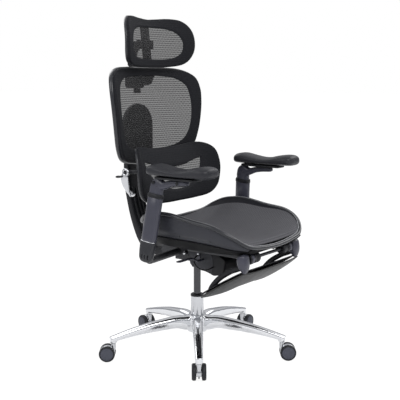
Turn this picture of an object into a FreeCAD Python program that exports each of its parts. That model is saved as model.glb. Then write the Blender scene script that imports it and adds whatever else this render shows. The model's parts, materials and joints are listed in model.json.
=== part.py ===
import FreeCAD, Part
import Sketcher
import math
import os

# Reclining office chair with a footrest that slides out from under the seat.
# Millimetres. +Z is up, the chair faces -Y, and +X is the sitter's left.
# The origin is on the floor, on the axis of the gas column.

Vec = FreeCAD.Vector
UP = Vec(0, 0, 1)
ACROSS = Vec(1, 0, 0)

# Driving dimensions. Each becomes a cell of the sheet, with its name as the alias.
SIZES = {
    # Base, castors and column
    "base_radius": 340.0,
    "hub_radius": 37.0,
    "hub_bottom": 84.0,
    "hub_top": 151.0,
    "leg_root_width": 46.0,
    "leg_tip_width": 27.0,
    "leg_root_depth": 42.0,
    "leg_tip_depth": 18.0,
    "leg_tip_bottom": 71.0,
    "socket_radius": 13.5,
    "stem_radius": 5.5,
    "stem_length": 24.0,
    "running_clearance": 0.05,
    "body_gap": 0.4,
    "wheel_radius": 31.0,
    "wheel_width": 16.5,
    "wheel_gap": 20.0,
    "castor_trail": 24.0,
    "axle_radius": 4.0,
    "tube_radius": 25.0,
    "tube_top": 235.0,
    "piston_radius": 14.0,
    # Mechanism
    "mech_width": 118.0,
    "mech_top": 424.0,
    "mech_bottom": 378.0,
    "mech_front": 112.0,
    "mech_rear": 62.0,
    "mech_wall": 4.0,
    "socket_bottom": 345.0,
    "cover_width": 140.0,
    "cover_wall": 2.5,
    "recline_f": 0.0,
    "recline_z": 412.0,
    "shaft_radius": 8.0,
    "shaft_length": 168.0,
    "tilt_f": 96.0,
    "tilt_z": 420.0,
    "tilt_shaft_radius": 5.0,
    # Seat
    "seat_width": 510.0,
    "seat_depth": 464.0,
    "seat_rear": 112.0,
    "rim_radius": 8.5,
    "seat_floor": 462.0,
    # Footrest
    "guide_x": 100.0,
    "guide_radius": 11.0,
    "slide_radius": 8.5,
    "footrest_f": 328.0,
    "footrest_z": 442.0,
    "rod_radius": 6.0,
    "footrest_pad_half": 236.0,
    # Back
    "back_half": 268.0,
    "back_top": 1112.0,
    "back_rim": 11.0,
    "spine_plate_width": 172.0,
    "spine_width": 90.0,
    "lumbar_half": 246.0,
    "head_half": 200.0,
    "head_bottom": 1118.0,
    "head_top": 1304.0,
    # Armrests
    "post_x": 300.0,
    "post_lean": 6.2,
    "post_splay": 6.9,
    "sleeve_wide": 64.0,
    "sleeve_thick": 34.0,
    "sleeve_length": 168.0,
    "sleeve_wall": 3.0,
    "pad_length": 278.0,
    "pad_width": 96.0,
    "pad_z": 742.0,
    "pad_x": 274.0,
}

doc = FreeCAD.newDocument("ReclinerChair")
sheet = doc.addObject("Spreadsheet::Sheet", "Sizes")
for row, (name, value) in enumerate(SIZES.items(), start=1):
    sheet.set(f"A{row}", name)
    sheet.set(f"B{row}", str(value))
    sheet.setAlias(f"B{row}", name)
doc.recompute()

pieces = {}


def size(name):
    """The value of a driving dimension, read back from the sheet."""
    return float(sheet.get(name))


def bind(thing, **rules):
    """Binds properties to the sheet. A rule's names of cells are written bare."""
    for prop, rule in rules.items():
        words = rule
        for name in sorted(SIZES, key=len, reverse=True):
            words = replace_word(words, name)
        thing.setExpression(prop.replace("__", "."), words)


def replace_word(rule, name):
    """Puts the sheet's name before a cell's alias wherever it stands as a whole word."""
    out = ""
    at = 0
    while at < len(rule):
        found = rule.startswith(name, at)
        before = rule[at - 1] if at else " "
        after = rule[at + len(name)] if at + len(name) < len(rule) else " "
        clear = not (before.isalnum() or before in "_.")
        if found and clear and not (after.isalnum() or after == "_"):
            out += "Sizes." + name
            at += len(name)
        else:
            out += rule[at]
            at += 1
    return out


def place(thing, x=0.0, y=0.0, z=0.0, axis=UP, angle=0.0):
    """Sets a fixed placement: a turn about an axis, then a move."""
    thing.Placement = FreeCAD.Placement(Vec(x, y, z), FreeCAD.Rotation(axis, angle))
    return thing


def keep(thing, node):
    """Makes an object the finished sub-part of that name."""
    thing.Label = node
    pieces[node] = thing
    return thing


def cylinder(name, radius, length):
    """A cylinder along its own Z whose sizes follow the sheet."""
    thing = doc.addObject("Part::Cylinder", name)
    bind(thing, Radius=radius, Height=length)
    return thing


def cone(name, low, high, length):
    """A cone along its own Z whose sizes follow the sheet."""
    thing = doc.addObject("Part::Cone", name)
    bind(thing, Radius1=low, Radius2=high, Height=length)
    return thing


def block(name, wide, deep, high):
    """A box whose sizes follow the sheet."""
    thing = doc.addObject("Part::Box", name)
    bind(thing, Length=wide, Width=deep, Height=high)
    return thing


def fuse(name, things):
    """One solid of several."""
    thing = doc.addObject("Part::MultiFuse", name)
    thing.Shapes = things
    thing.Refine = True
    return thing


def cut(name, base, tool):
    """The first object less the second."""
    thing = doc.addObject("Part::Cut", name)
    thing.Base = base
    thing.Tool = tool
    return thing


def free_shape(node, shape):
    """A sub-part whose form only the geometry functions can give."""
    thing = doc.addObject("Part::Feature", node)
    thing.Shape = shape
    return keep(thing, node)


def straight_wire(points):
    """A closed wire of straight edges."""
    ring = [Vec(*p) for p in points]
    return Part.makePolygon(ring + [ring[0]])


def one_solid(shape):
    """The largest solid that a shape holds, turned the right way out."""
    solids = sorted(shape.Solids, key=lambda s: abs(s.Volume))
    solid = solids[-1] if solids else Part.Solid(Part.Shell(shape.Faces))
    if solid.Volume < 0:
        solid.reverse()
    return solid


def round_bar(points, radius):
    """A round bar along straight runs joined by tangent arcs."""
    wire = arc_path([Vec(*p) for p in points])
    start = wire.Vertexes[0].Point
    ahead = wire.OrderedEdges[0].tangentAt(wire.OrderedEdges[0].FirstParameter)
    ring = Part.Wire([Part.makeCircle(radius, start, ahead)])
    return one_solid(wire.makePipeShell([ring], True, True))


def arc_path(points, share=0.45):
    """Straight runs with an arc at each inner point, as large as the two runs allow."""
    edges = []
    last = points[0]
    for before, corner, after in zip(points, points[1:], points[2:]):
        inward = (before - corner)
        outward = (after - corner)
        reach = share * min(inward.Length, outward.Length)
        inward.normalize()
        outward.normalize()
        first = corner + inward * reach
        final = corner + outward * reach
        half = 0.5 * inward.getAngle(outward)
        middle = (inward + outward).normalize()
        radius = reach * math.tan(half)
        centre = corner + middle * (reach / math.cos(half))
        apex = centre - middle * radius
        edges.append(Part.LineSegment(last, first).toShape())
        edges.append(Part.Arc(first, apex, final).toShape())
        last = final
    edges.append(Part.LineSegment(last, points[-1]).toShape())
    return Part.Wire(edges)


def plate_yz(outline, x_low, x_high):
    """A plate whose outline is (forward, height) pairs, between two planes of X."""
    ring = straight_wire([(x_low, -f, z) for f, z in outline])
    return Part.Face(ring).extrude(Vec(x_high - x_low, 0, 0))


def rounded(shape, radius, chosen=None):
    """A shape with its edges rounded, or as it is where no edge is chosen."""
    edges = [e for e in shape.Edges if chosen is None or chosen(e)]
    return shape.makeFillet(radius, edges) if edges else shape




def flat_sketch(body, role, name):
    """A sketch on one of a body's own origin planes."""
    sketch = body.newObject("Sketcher::SketchObject", name)
    plane = [f for f in body.Origin.OriginFeatures if f.Role == role][0]
    sketch.AttachmentSupport = [(plane, "")]
    sketch.MapMode = "FlatFace"
    return sketch


def with_sheet(rule):
    """A rule with the sheet's name put before each cell's alias."""
    words = rule
    for name in sorted(SIZES, key=len, reverse=True):
        words = replace_word(words, name)
    return words


def draw_outline(sketch, corners):
    """A closed outline whose corners are pairs of rules, each bound to the sheet."""
    rules = [(with_sheet(across), with_sheet(up)) for across, up in corners]
    spots = [[float(sheet.evalExpression(r)) for r in pair] for pair in rules]
    count = len(spots)
    for i, spot in enumerate(spots):
        after = spots[(i + 1) % count]
        sketch.addGeometry(Part.LineSegment(Vec(*spot, 0), Vec(*after, 0)), False)
    for i in range(count):
        sketch.addConstraint(Sketcher.Constraint("Coincident", i, 2, (i + 1) % count, 1))
    for i, (spot, pair) in enumerate(zip(spots, rules)):
        for kind, axis, value, rule in zip(("DistanceX", "DistanceY"), (-2, -1), spot, pair):
            if abs(value) < 1e-9:
                sketch.addConstraint(Sketcher.Constraint("PointOnObject", i, 1, axis))
                continue
            at = sketch.addConstraint(Sketcher.Constraint(kind, -1, 1, i, 1, value))
            sketch.setExpression(f"Constraints[{at}]", rule)


def padded_body(node, corners, length, role="XY_Plane", both_ways=False):
    """A body padded from one outline."""
    body = doc.addObject("PartDesign::Body", node)
    sketch = flat_sketch(body, role, node + "_outline")
    draw_outline(sketch, corners)
    pad = body.newObject("PartDesign::Pad", node + "_pad")
    pad.Profile = sketch
    pad.Midplane = both_ways
    bind(pad, Length=length)
    body.Tip = pad
    return body


def turned_body(node, corners):
    """A body turned about its own Z from an outline of (radius, height) pairs."""
    body = doc.addObject("PartDesign::Body", node)
    sketch = flat_sketch(body, "XZ_Plane", node + "_profile")
    draw_outline(sketch, corners)
    turn = body.newObject("PartDesign::Revolution", node + "_turn")
    turn.Profile = sketch
    turn.ReferenceAxis = (sketch, ["V_Axis"])
    turn.Angle = 360
    body.Tip = turn
    return body


# Each castor trails its stem in its own direction, as it came to rest.
LEG_ANGLES = [218.1 + 72.0 * i for i in range(5)]
TRAIL_ANGLES = [38.0, 307.0, 2.0, 74.0, 127.0]


def at_leg(thing, leg, turn):
    """Puts a piece at the end of a leg, turned about the upright."""
    angle = math.radians(LEG_ANGLES[leg])
    thing.Placement = FreeCAD.Placement(Vec(), FreeCAD.Rotation(UP, turn))
    bind(
        thing,
        Placement__Base__x=f"base_radius * {math.cos(angle):.7f}",
        Placement__Base__y=f"base_radius * {math.sin(angle):.7f}",
    )
    return thing


def leg_section(out, low, high, wide):
    """An eight-sided section of a leg, narrower along its top edge."""
    side = 0.5 * wide
    rise = high - low
    ring = [
        (out, -0.72 * side, low),
        (out, 0.72 * side, low),
        (out, side, low + 0.24 * rise),
        (out, 0.96 * side, low + 0.62 * rise),
        (out, 0.55 * side, high),
        (out, -0.55 * side, high),
        (out, -0.96 * side, low + 0.62 * rise),
        (out, -side, low + 0.24 * rise),
    ]
    return straight_wire(ring)


def base_leg():
    """One leg along +X: arched, and deepest where it leaves the hub."""
    root = size("hub_radius") - 14.0
    tip = size("base_radius") + 3.0
    top = size("hub_top")
    tip_low = size("leg_tip_bottom")
    depth = (size("leg_root_depth"), size("leg_tip_depth"))
    wide = (size("leg_root_width"), size("leg_tip_width"))
    sections = []
    for share in (0.0, 0.25, 0.5, 0.75, 1.0):
        out = root + share * (tip - root)
        tip_high = tip_low + depth[1]
        high = top + (tip_high - top) * share ** 1.45
        deep = depth[0] + (depth[1] - depth[0]) * share
        sections.append(leg_section(out, high - deep, high, wide[0] + (wide[1] - wide[0]) * share))
    return one_solid(Part.makeLoft(sections, True, False))


def make_base():
    """The five-legged base: legs, hub and stem sockets, with the bores cut last."""
    hub = cone("hub_outside", "hub_radius + 3", "hub_radius", "hub_top - hub_bottom")
    bind(hub, Placement__Base__z="hub_bottom")
    solids = [hub]
    bores = []
    for leg, angle in enumerate(LEG_ANGLES):
        arm = doc.addObject("Part::Feature", f"leg_form_{leg + 1}")
        arm.Shape = base_leg()
        place(arm, angle=angle)
        socket = at_leg(cylinder(f"socket_{leg + 1}", "socket_radius", "leg_tip_depth + 5"), leg, angle)
        bind(socket, Placement__Base__z="leg_tip_bottom - 1")
        bore = at_leg(
            cylinder(f"stem_bore_{leg + 1}", "stem_radius + running_clearance", "stem_length - 3"),
            leg,
            angle,
        )
        bind(bore, Placement__Base__z="leg_tip_bottom - 2")
        solids += [arm, socket]
        bores.append(bore)
    middle = cylinder("column_bore", "tube_radius", "hub_top")
    bind(middle, Placement__Base__z="hub_bottom - 20")
    star = fuse("star_solid", solids)
    keep(cut("base_star", star, fuse("star_bores", [middle] + bores)), "base_star")


def make_castor(leg):
    """One twin-wheel castor: the hood with its stem, and the two wheels on their axle."""
    node = f"castor_fork_{leg + 1}"
    stem = cylinder(f"stem_{leg + 1}", "stem_radius", "stem_length + 10")
    bind(stem, Placement__Base__z="leg_tip_bottom - 15")
    collar = cylinder(f"collar_{leg + 1}", "wheel_gap / 2 - 1", "24")
    bind(collar, Placement__Base__z="leg_tip_bottom - 25 - body_gap")
    hood = cylinder(f"hood_{leg + 1}", "wheel_radius - 4", "wheel_gap - 1.2")
    hood.Placement = FreeCAD.Placement(Vec(), FreeCAD.Rotation(ACROSS, 90))
    bind(
        hood,
        Placement__Base__x="castor_trail",
        Placement__Base__y="wheel_gap / 2 - 0.6",
        Placement__Base__z="wheel_radius",
    )
    neck = block(f"neck_{leg + 1}", "castor_trail - 4", "wheel_gap - 5", "18")
    bind(
        neck,
        Placement__Base__x="0 - 5",
        Placement__Base__y="0 - wheel_gap / 2 + 2.5",
        Placement__Base__z="leg_tip_bottom - 30",
    )
    hole = cylinder(f"axle_hole_{leg + 1}", "axle_radius + running_clearance", "wheel_gap * 2")
    hole.Placement = FreeCAD.Placement(Vec(), FreeCAD.Rotation(ACROSS, 90))
    bind(
        hole,
        Placement__Base__x="castor_trail",
        Placement__Base__y="wheel_gap",
        Placement__Base__z="wheel_radius",
    )
    solid = fuse(f"fork_solid_{leg + 1}", [stem, collar, hood, neck])
    keep(at_leg(cut(node, solid, hole), leg, TRAIL_ANGLES[leg]), node)

    outer = "(wheel_gap / 2 + wheel_width)"
    profile = [
        ("0", f"0 - {outer} + 3"),
        ("0.62 * wheel_radius", f"0 - {outer} + 3"),
        ("0.72 * wheel_radius", f"0 - {outer}"),
        ("wheel_radius - 3", f"0 - {outer}"),
        ("wheel_radius", f"0 - {outer} + 3"),
        ("wheel_radius", "0 - wheel_gap / 2 - 2"),
        ("wheel_radius - 2", "0 - wheel_gap / 2"),
        ("axle_radius", "0 - wheel_gap / 2"),
        ("axle_radius", "wheel_gap / 2"),
        ("wheel_radius - 2", "wheel_gap / 2"),
        ("wheel_radius", "wheel_gap / 2 + 2"),
        ("wheel_radius", f"{outer} - 3"),
        ("wheel_radius - 3", outer),
        ("0.72 * wheel_radius", outer),
        ("0.62 * wheel_radius", f"{outer} - 3"),
        ("0", f"{outer} - 3"),
    ]
    wheels = turned_body(f"castor_wheels_{leg + 1}", profile)
    out = math.radians(LEG_ANGLES[leg])
    trail = math.radians(TRAIL_ANGLES[leg])
    upright = FreeCAD.Rotation(UP, TRAIL_ANGLES[leg])
    wheels.Placement = FreeCAD.Placement(Vec(), upright * FreeCAD.Rotation(ACROSS, 90))
    bind(
        wheels,
        Placement__Base__x=f"base_radius * {math.cos(out):.7f} + castor_trail * {math.cos(trail):.7f}",
        Placement__Base__y=f"base_radius * {math.sin(out):.7f} + castor_trail * {math.sin(trail):.7f}",
        Placement__Base__z="wheel_radius",
    )
    keep(wheels, f"castor_wheels_{leg + 1}")


def make_column():
    """The gas column: outer tube, guide bush in its mouth, and the piston."""
    tube = turned_body(
        "gas_tube",
        [
            ("tube_radius - 7", "hub_bottom + 4"),
            ("tube_radius", "hub_bottom + 4"),
            ("tube_radius", "tube_top - 8"),
            ("tube_radius - 7", "tube_top - 8"),
        ],
    )
    keep(tube, "gas_tube")
    bush = turned_body(
        "column_bush",
        [
            ("piston_radius + running_clearance", "tube_top - 48"),
            ("tube_radius - 7", "tube_top - 48"),
            ("tube_radius - 7", "tube_top - 8"),
            ("tube_radius + 1", "tube_top - 8"),
            ("tube_radius + 1", "tube_top - 2"),
            ("tube_radius - 1", "tube_top"),
            ("piston_radius + running_clearance", "tube_top"),
        ],
    )
    keep(bush, "column_bush")
    piston = turned_body(
        "gas_piston",
        [
            ("0", "tube_top - 60"),
            ("piston_radius - 2", "tube_top - 60"),
            ("piston_radius", "tube_top - 57"),
            ("piston_radius", "mech_bottom - 6"),
            ("piston_radius - 1.5", "mech_bottom - 4"),
            ("0", "mech_bottom - 4"),
        ],
    )
    keep(piston, "gas_piston")


def bar_across(name, radius, length, f_rule, z_rule):
    """A round bar across the chair, centred, with its axis at a forward distance and a height."""
    bar = cylinder(name, radius, length)
    bar.Placement = FreeCAD.Placement(Vec(), FreeCAD.Rotation(Vec(0, 1, 0), 90))
    bind(
        bar,
        Placement__Base__x=f"0 - ({length}) / 2",
        Placement__Base__y=f"0 - ({f_rule})",
        Placement__Base__z=z_rule,
    )
    return bar


def centred_block(name, wide, front, rear, low, high):
    """A block centred across the chair; front and rear are forward distances."""
    thing = block(name, wide, f"({front}) - ({rear})", f"({high}) - ({low})")
    bind(
        thing,
        Placement__Base__x=f"0 - ({wide}) / 2",
        Placement__Base__y=f"0 - ({front})",
        Placement__Base__z=low,
    )
    return thing


def make_mechanism():
    """The tilt mechanism on top of the column, with its shell, shafts and springs."""
    tray = centred_block("tray_outside", "mech_width", "mech_front", "0 - mech_rear", "mech_bottom",
                         "mech_top")
    inside = centred_block(
        "tray_inside",
        "mech_width - 2 * mech_wall",
        "mech_front - mech_wall",
        "0 - mech_rear + mech_wall",
        "mech_bottom + mech_wall",
        "mech_top + 1",
    )
    boss = cone("piston_boss", "piston_radius + 7", "piston_radius + 11",
                "mech_bottom + 20 - socket_bottom")
    bind(boss, Placement__Base__z="socket_bottom")
    socket = cylinder("piston_socket", "piston_radius + running_clearance",
                      "mech_bottom - socket_bottom + 2")
    bind(socket, Placement__Base__z="socket_bottom - 4")
    main_hole = bar_across(
        "main_shaft_hole", "shaft_radius + running_clearance", "mech_width + 20", "recline_f", "recline_z"
    )
    tilt_hole = bar_across(
        "tilt_shaft_hole", "tilt_shaft_radius + running_clearance", "mech_width + 20", "tilt_f", "tilt_z"
    )
    shell = fuse("tray_with_boss", [cut("tray_open", tray, inside), boss])
    keep(cut("mechanism_housing", shell, fuse("housing_bores", [socket, main_hole, tilt_hole])),
         "mechanism_housing")

    # The shell's side view, as forward distances and heights from the front of the tray.
    outline = [
        ("mech_front - 98", "mech_top + 9"),
        ("mech_front - 74", "mech_bottom - 12"),
        ("mech_front - 15", "mech_bottom - 26"),
        ("mech_front + 18", "mech_bottom - 40"),
        ("mech_front + 64", "mech_bottom - 24"),
        ("mech_front + 72", "mech_top - 21"),
        ("mech_front + 22", "mech_top + 3"),
    ]
    outer = padded_body("cover_outside", [(f"0 - ({f})", z) for f, z in outline], "cover_width",
                        "YZ_Plane", True)
    hollow = [
        ("mech_front - 94", "mech_top + 30"),
        ("mech_front - 92", "mech_top - 4"),
        ("mech_front - 71", "mech_bottom - 12 + cover_wall"),
        ("mech_front - 14", "mech_bottom - 26 + cover_wall"),
        ("mech_front + 18", "mech_bottom - 40 + cover_wall"),
        ("mech_front + 64 - cover_wall", "mech_bottom - 24 + cover_wall"),
        ("mech_front + 72 - cover_wall", "mech_top - 22"),
        ("mech_front + 22", "mech_top + 3 - cover_wall"),
        ("mech_front + 21", "mech_top + 30"),
    ]
    inner = padded_body(
        "cover_inside",
        [(f"0 - ({f})", z) for f, z in hollow],
        "cover_width - 2 * cover_wall",
        "YZ_Plane",
        True,
    )
    knob_hole = bar_across("knob_hole", "6", "cover_width + 10", "mech_front + 34", "mech_bottom + 4")
    bind(knob_hole, Placement__Base__x="0")
    lever_hole = bar_across("lever_hole", "4 + running_clearance", "cover_width + 10",
                            "mech_front - 30", "mech_bottom + 18")
    room = centred_block("tray_room", "mech_width", "mech_front", "0 - mech_rear", "mech_bottom",
                         "mech_top + 20")
    tools = fuse("cover_cuts", [inner, knob_hole, lever_hole, room])
    keep(cut("mechanism_cover", outer, tools), "mechanism_cover")

    keep(bar_across("main_shaft", "shaft_radius", "shaft_length", "recline_f", "recline_z"),
         "main_shaft")
    keep(bar_across("seat_shaft", "tilt_shaft_radius", "mech_width + 14", "tilt_f", "tilt_z"),
         "seat_shaft")

    coils = []
    for side in (-1, 1):
        spring = turned_body(f"spring_{side + 2}", [("9", "0"), ("13", "0"), ("13", "tilt_f - 36"),
                                                    ("9", "tilt_f - 36")])
        spring.Placement = FreeCAD.Placement(Vec(), FreeCAD.Rotation(ACROSS, 90))
        bind(
            spring,
            Placement__Base__x=f"{side} * mech_width / 4",
            Placement__Base__y="0 - 26",
            Placement__Base__z="mech_top - 24",
        )
        coils.append(spring)
    springs = doc.addObject("Part::Compound", "tilt_springs")
    springs.Links = coils
    keep(springs, "tilt_springs")

    knob = turned_body(
        "tension_knob",
        [
            ("0", "0 - 10"),
            ("5.9", "0 - 10"),
            ("5.9", "body_gap"),
            ("19", "body_gap"),
            ("20", "3"),
            ("18", "26"),
            ("15", "28"),
            ("0", "28"),
        ],
    )
    knob.Placement = FreeCAD.Placement(Vec(), FreeCAD.Rotation(Vec(0, 1, 0), 90))
    bind(
        knob,
        Placement__Base__x="cover_width / 2",
        Placement__Base__y="0 - mech_front - 34",
        Placement__Base__z="mech_bottom + 4",
    )
    keep(knob, "tension_knob")


def make_levers():
    """The height lever and the recline lever: a bent rod with a flat paddle each."""
    half = size("mech_width") / 2
    f_rod = size("mech_front") - 30.0
    z_rod = size("mech_bottom") + 18.0
    for node, side, reach in (("lift_lever", -1, 176.0), ("recline_lever", 1, 190.0)):
        rod = round_bar(
            [
                (side * (half + 1.0), -f_rod, z_rod),
                (side * (half + 46.0), -f_rod, z_rod),
                (side * (reach - 26.0), -f_rod, z_rod + 18.0),
                (side * (reach + 4.0), -f_rod, z_rod + 18.0),
            ],
            4.0,
        )
        paddle = Part.makeBox(52, 22, 5, Vec(0, -11, -2.5))
        paddle = rounded(paddle, 2.0, lambda e: e.Length > 10)
        paddle.rotate(Vec(), UP, 0 if side > 0 else 180)
        paddle.translate(Vec(side * reach, -f_rod, z_rod + 18.0))
        free_shape(node, one_solid(rod.fuse(paddle).removeSplitter()))

    # The bracket beside the mechanism that holds the end of the cable.
    plate = padded_body(
        "lever_plate",
        [("0", "0"), ("16", "0"), ("16", "30"), ("11", "38"), ("5", "38"), ("0", "30")],
        "3",
        "YZ_Plane",
    )
    bind(
        plate,
        Placement__Base__x="0 - cover_width / 2 - 3 - body_gap",
        Placement__Base__y="0 - mech_front + 44",
        Placement__Base__z="mech_bottom + 10",
    )
    keep(plate, "lever_plate")


# The seat's stations from its rear edge to its front edge: the share of the depth, the share of the
# half width, and the heights of the rim, of the wall's lower edge and of the floor above seat_floor.
SEAT_STATIONS = [
    (0.00, 0.76, 74.0, 42.0, 36.0),
    (0.07, 0.91, 100.0, 41.0, 20.0),
    (0.18, 0.98, 121.0, 39.0, 5.0),
    (0.36, 1.00, 127.0, 38.0, 0.0),
    (0.58, 1.00, 112.0, 37.0, 0.0),
    (0.78, 0.995, 100.0, 34.0, 2.0),
    (0.92, 0.915, 70.0, 25.0, 4.0),
    (1.00, 0.72, 33.0, 15.0, 6.0),
]
SEAT_WALL = 5.0
FLOOR_SHARE = 0.78
MESH_THICK = 2.4


def seat_station(row):
    """Forward distance, half width and the three heights of one station, in millimetres."""
    along, wide, rim, wall, floor = row
    base = size("seat_floor")
    forward = along * size("seat_depth") - size("seat_rear")
    return forward, wide * size("seat_width") / 2, base + rim, base + wall, base + floor


def seat_frame_section(row):
    """The tray's section at one station: a shallow U with sloping shoulders."""
    f, half, rim, wall, floor = seat_station(row)
    half -= size("rim_radius")
    low = FLOOR_SHARE * half
    outside = [(half, rim), (half, wall), (low, floor)]
    inside = [(low - 2, floor + SEAT_WALL), (half - SEAT_WALL, wall + 3), (half - SEAT_WALL, rim)]
    ring = outside + [(-x, z) for x, z in reversed(outside)]
    ring += [(-x, z) for x, z in inside[::-1]] + inside
    return straight_wire([(x, -f, z) for x, z in ring])


def arc_loop(points, share=0.485):
    """A closed path: an arc at each point, joined by short straight runs."""
    edges = []
    count = len(points)
    spots = [Vec(*p) for p in points]
    ends = []
    for i, corner in enumerate(spots):
        inward = spots[i - 1] - corner
        outward = spots[(i + 1) % count] - corner
        reach = share * min(inward.Length, outward.Length)
        inward.normalize()
        outward.normalize()
        half = 0.5 * inward.getAngle(outward)
        middle = (inward + outward).normalize()
        radius = reach * math.tan(half)
        apex = corner + middle * (reach / math.cos(half) - radius)
        ends.append((corner + inward * reach, apex, corner + outward * reach))
    for i, (first, apex, final) in enumerate(ends):
        edges.append(Part.Arc(first, apex, final).toShape())
        edges.append(Part.LineSegment(final, ends[(i + 1) % count][0]).toShape())
    return Part.Wire(edges)


def round_hoop(points, radius):
    """A closed round bar through points, smooth at every joint."""
    wire = arc_loop(points)
    edge = wire.OrderedEdges[0]
    start = edge.valueAt(edge.FirstParameter)
    ring = Part.Wire([Part.makeCircle(radius, start, edge.tangentAt(edge.FirstParameter))])
    return one_solid(wire.makePipeShell([ring], True, True))


def seat_rim_points():
    """The rim: along the right side from rear to front, across the front, back and across the rear."""
    side = [seat_station(row)[:3] for row in SEAT_STATIONS]
    radius = size("rim_radius")
    right = [(half - radius, -f, z) for f, half, z in side]
    front_f, front_half, front_z = side[-1]
    rear_f, rear_half, rear_z = side[0]
    front = [(share * front_half, -front_f - drop, front_z - fall) for share, drop, fall in (
        (0.55, 7.5, 14.0), (0.0, 10.0, 20.0), (-0.55, 7.5, 14.0))]
    rear = [(share * rear_half, -rear_f + out, rear_z - fall) for share, out, fall in (
        (-0.5, 7.0, 7.0), (0.0, 9.0, 9.0), (0.5, 7.0, 7.0))]
    left = [(-x, y, z) for x, y, z in reversed(right)]
    return right + front + left + rear


def seat_mesh_shape():
    """The woven seat: a thin saddle hung between the rim's two sides."""
    sections = []
    radius = size("rim_radius")
    for row in SEAT_STATIONS:
        f, half, rim, wall, floor = seat_station(row)
        inner = half - 2 * radius - size("body_gap")
        middle = max(floor + 34.0, rim - 62.0 - 0.35 * (rim - size("seat_floor") - 90.0))
        middle = min(middle, rim - 8.0)
        top = []
        steps = 8
        for i in range(steps + 1):
            share = -1.0 + 2.0 * i / steps
            top.append((share * inner, middle + (rim - middle) * abs(share) ** 2.4))
        ring = top + [(x, z - MESH_THICK) for x, z in reversed(top)]
        sections.append(straight_wire([(x, -f, z) for x, z in ring]))
    return one_solid(Part.makeLoft(sections, True, False))


def make_seat():
    """Slide plate, tray, rim and woven seat."""
    plate = centred_block("seat_plate_flat", "190", "150", "0 - 70", "seat_floor - 16",
                          "seat_floor - 10")
    lugs = []
    for side in (-1, 1):
        lug = block(f"seat_lug_{side + 2}", "4", "28", "seat_floor - 16 - tilt_z + 11")
        bind(
            lug,
            Placement__Base__x=f"{side} * (mech_width / 2 + 3.6) - 2",
            Placement__Base__y="0 - tilt_f - 14",
            Placement__Base__z="tilt_z - 11",
        )
        lugs.append(lug)
    hole = bar_across("lug_hole", "tilt_shaft_radius", "mech_width + 30", "tilt_f", "tilt_z")
    keep(cut("seat_plate", fuse("seat_plate_solid", [plate] + lugs), hole), "seat_plate")

    sections = [seat_frame_section(row) for row in SEAT_STATIONS]
    tray = one_solid(Part.makeLoft(sections, True, False))
    hoop = round_hoop(seat_rim_points(), size("rim_radius"))
    free_shape("seat_frame", one_solid(tray.cut(hoop)))
    free_shape("seat_rim", hoop)
    free_shape("seat_mesh", one_solid(seat_mesh_shape().cut(hoop)))


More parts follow.
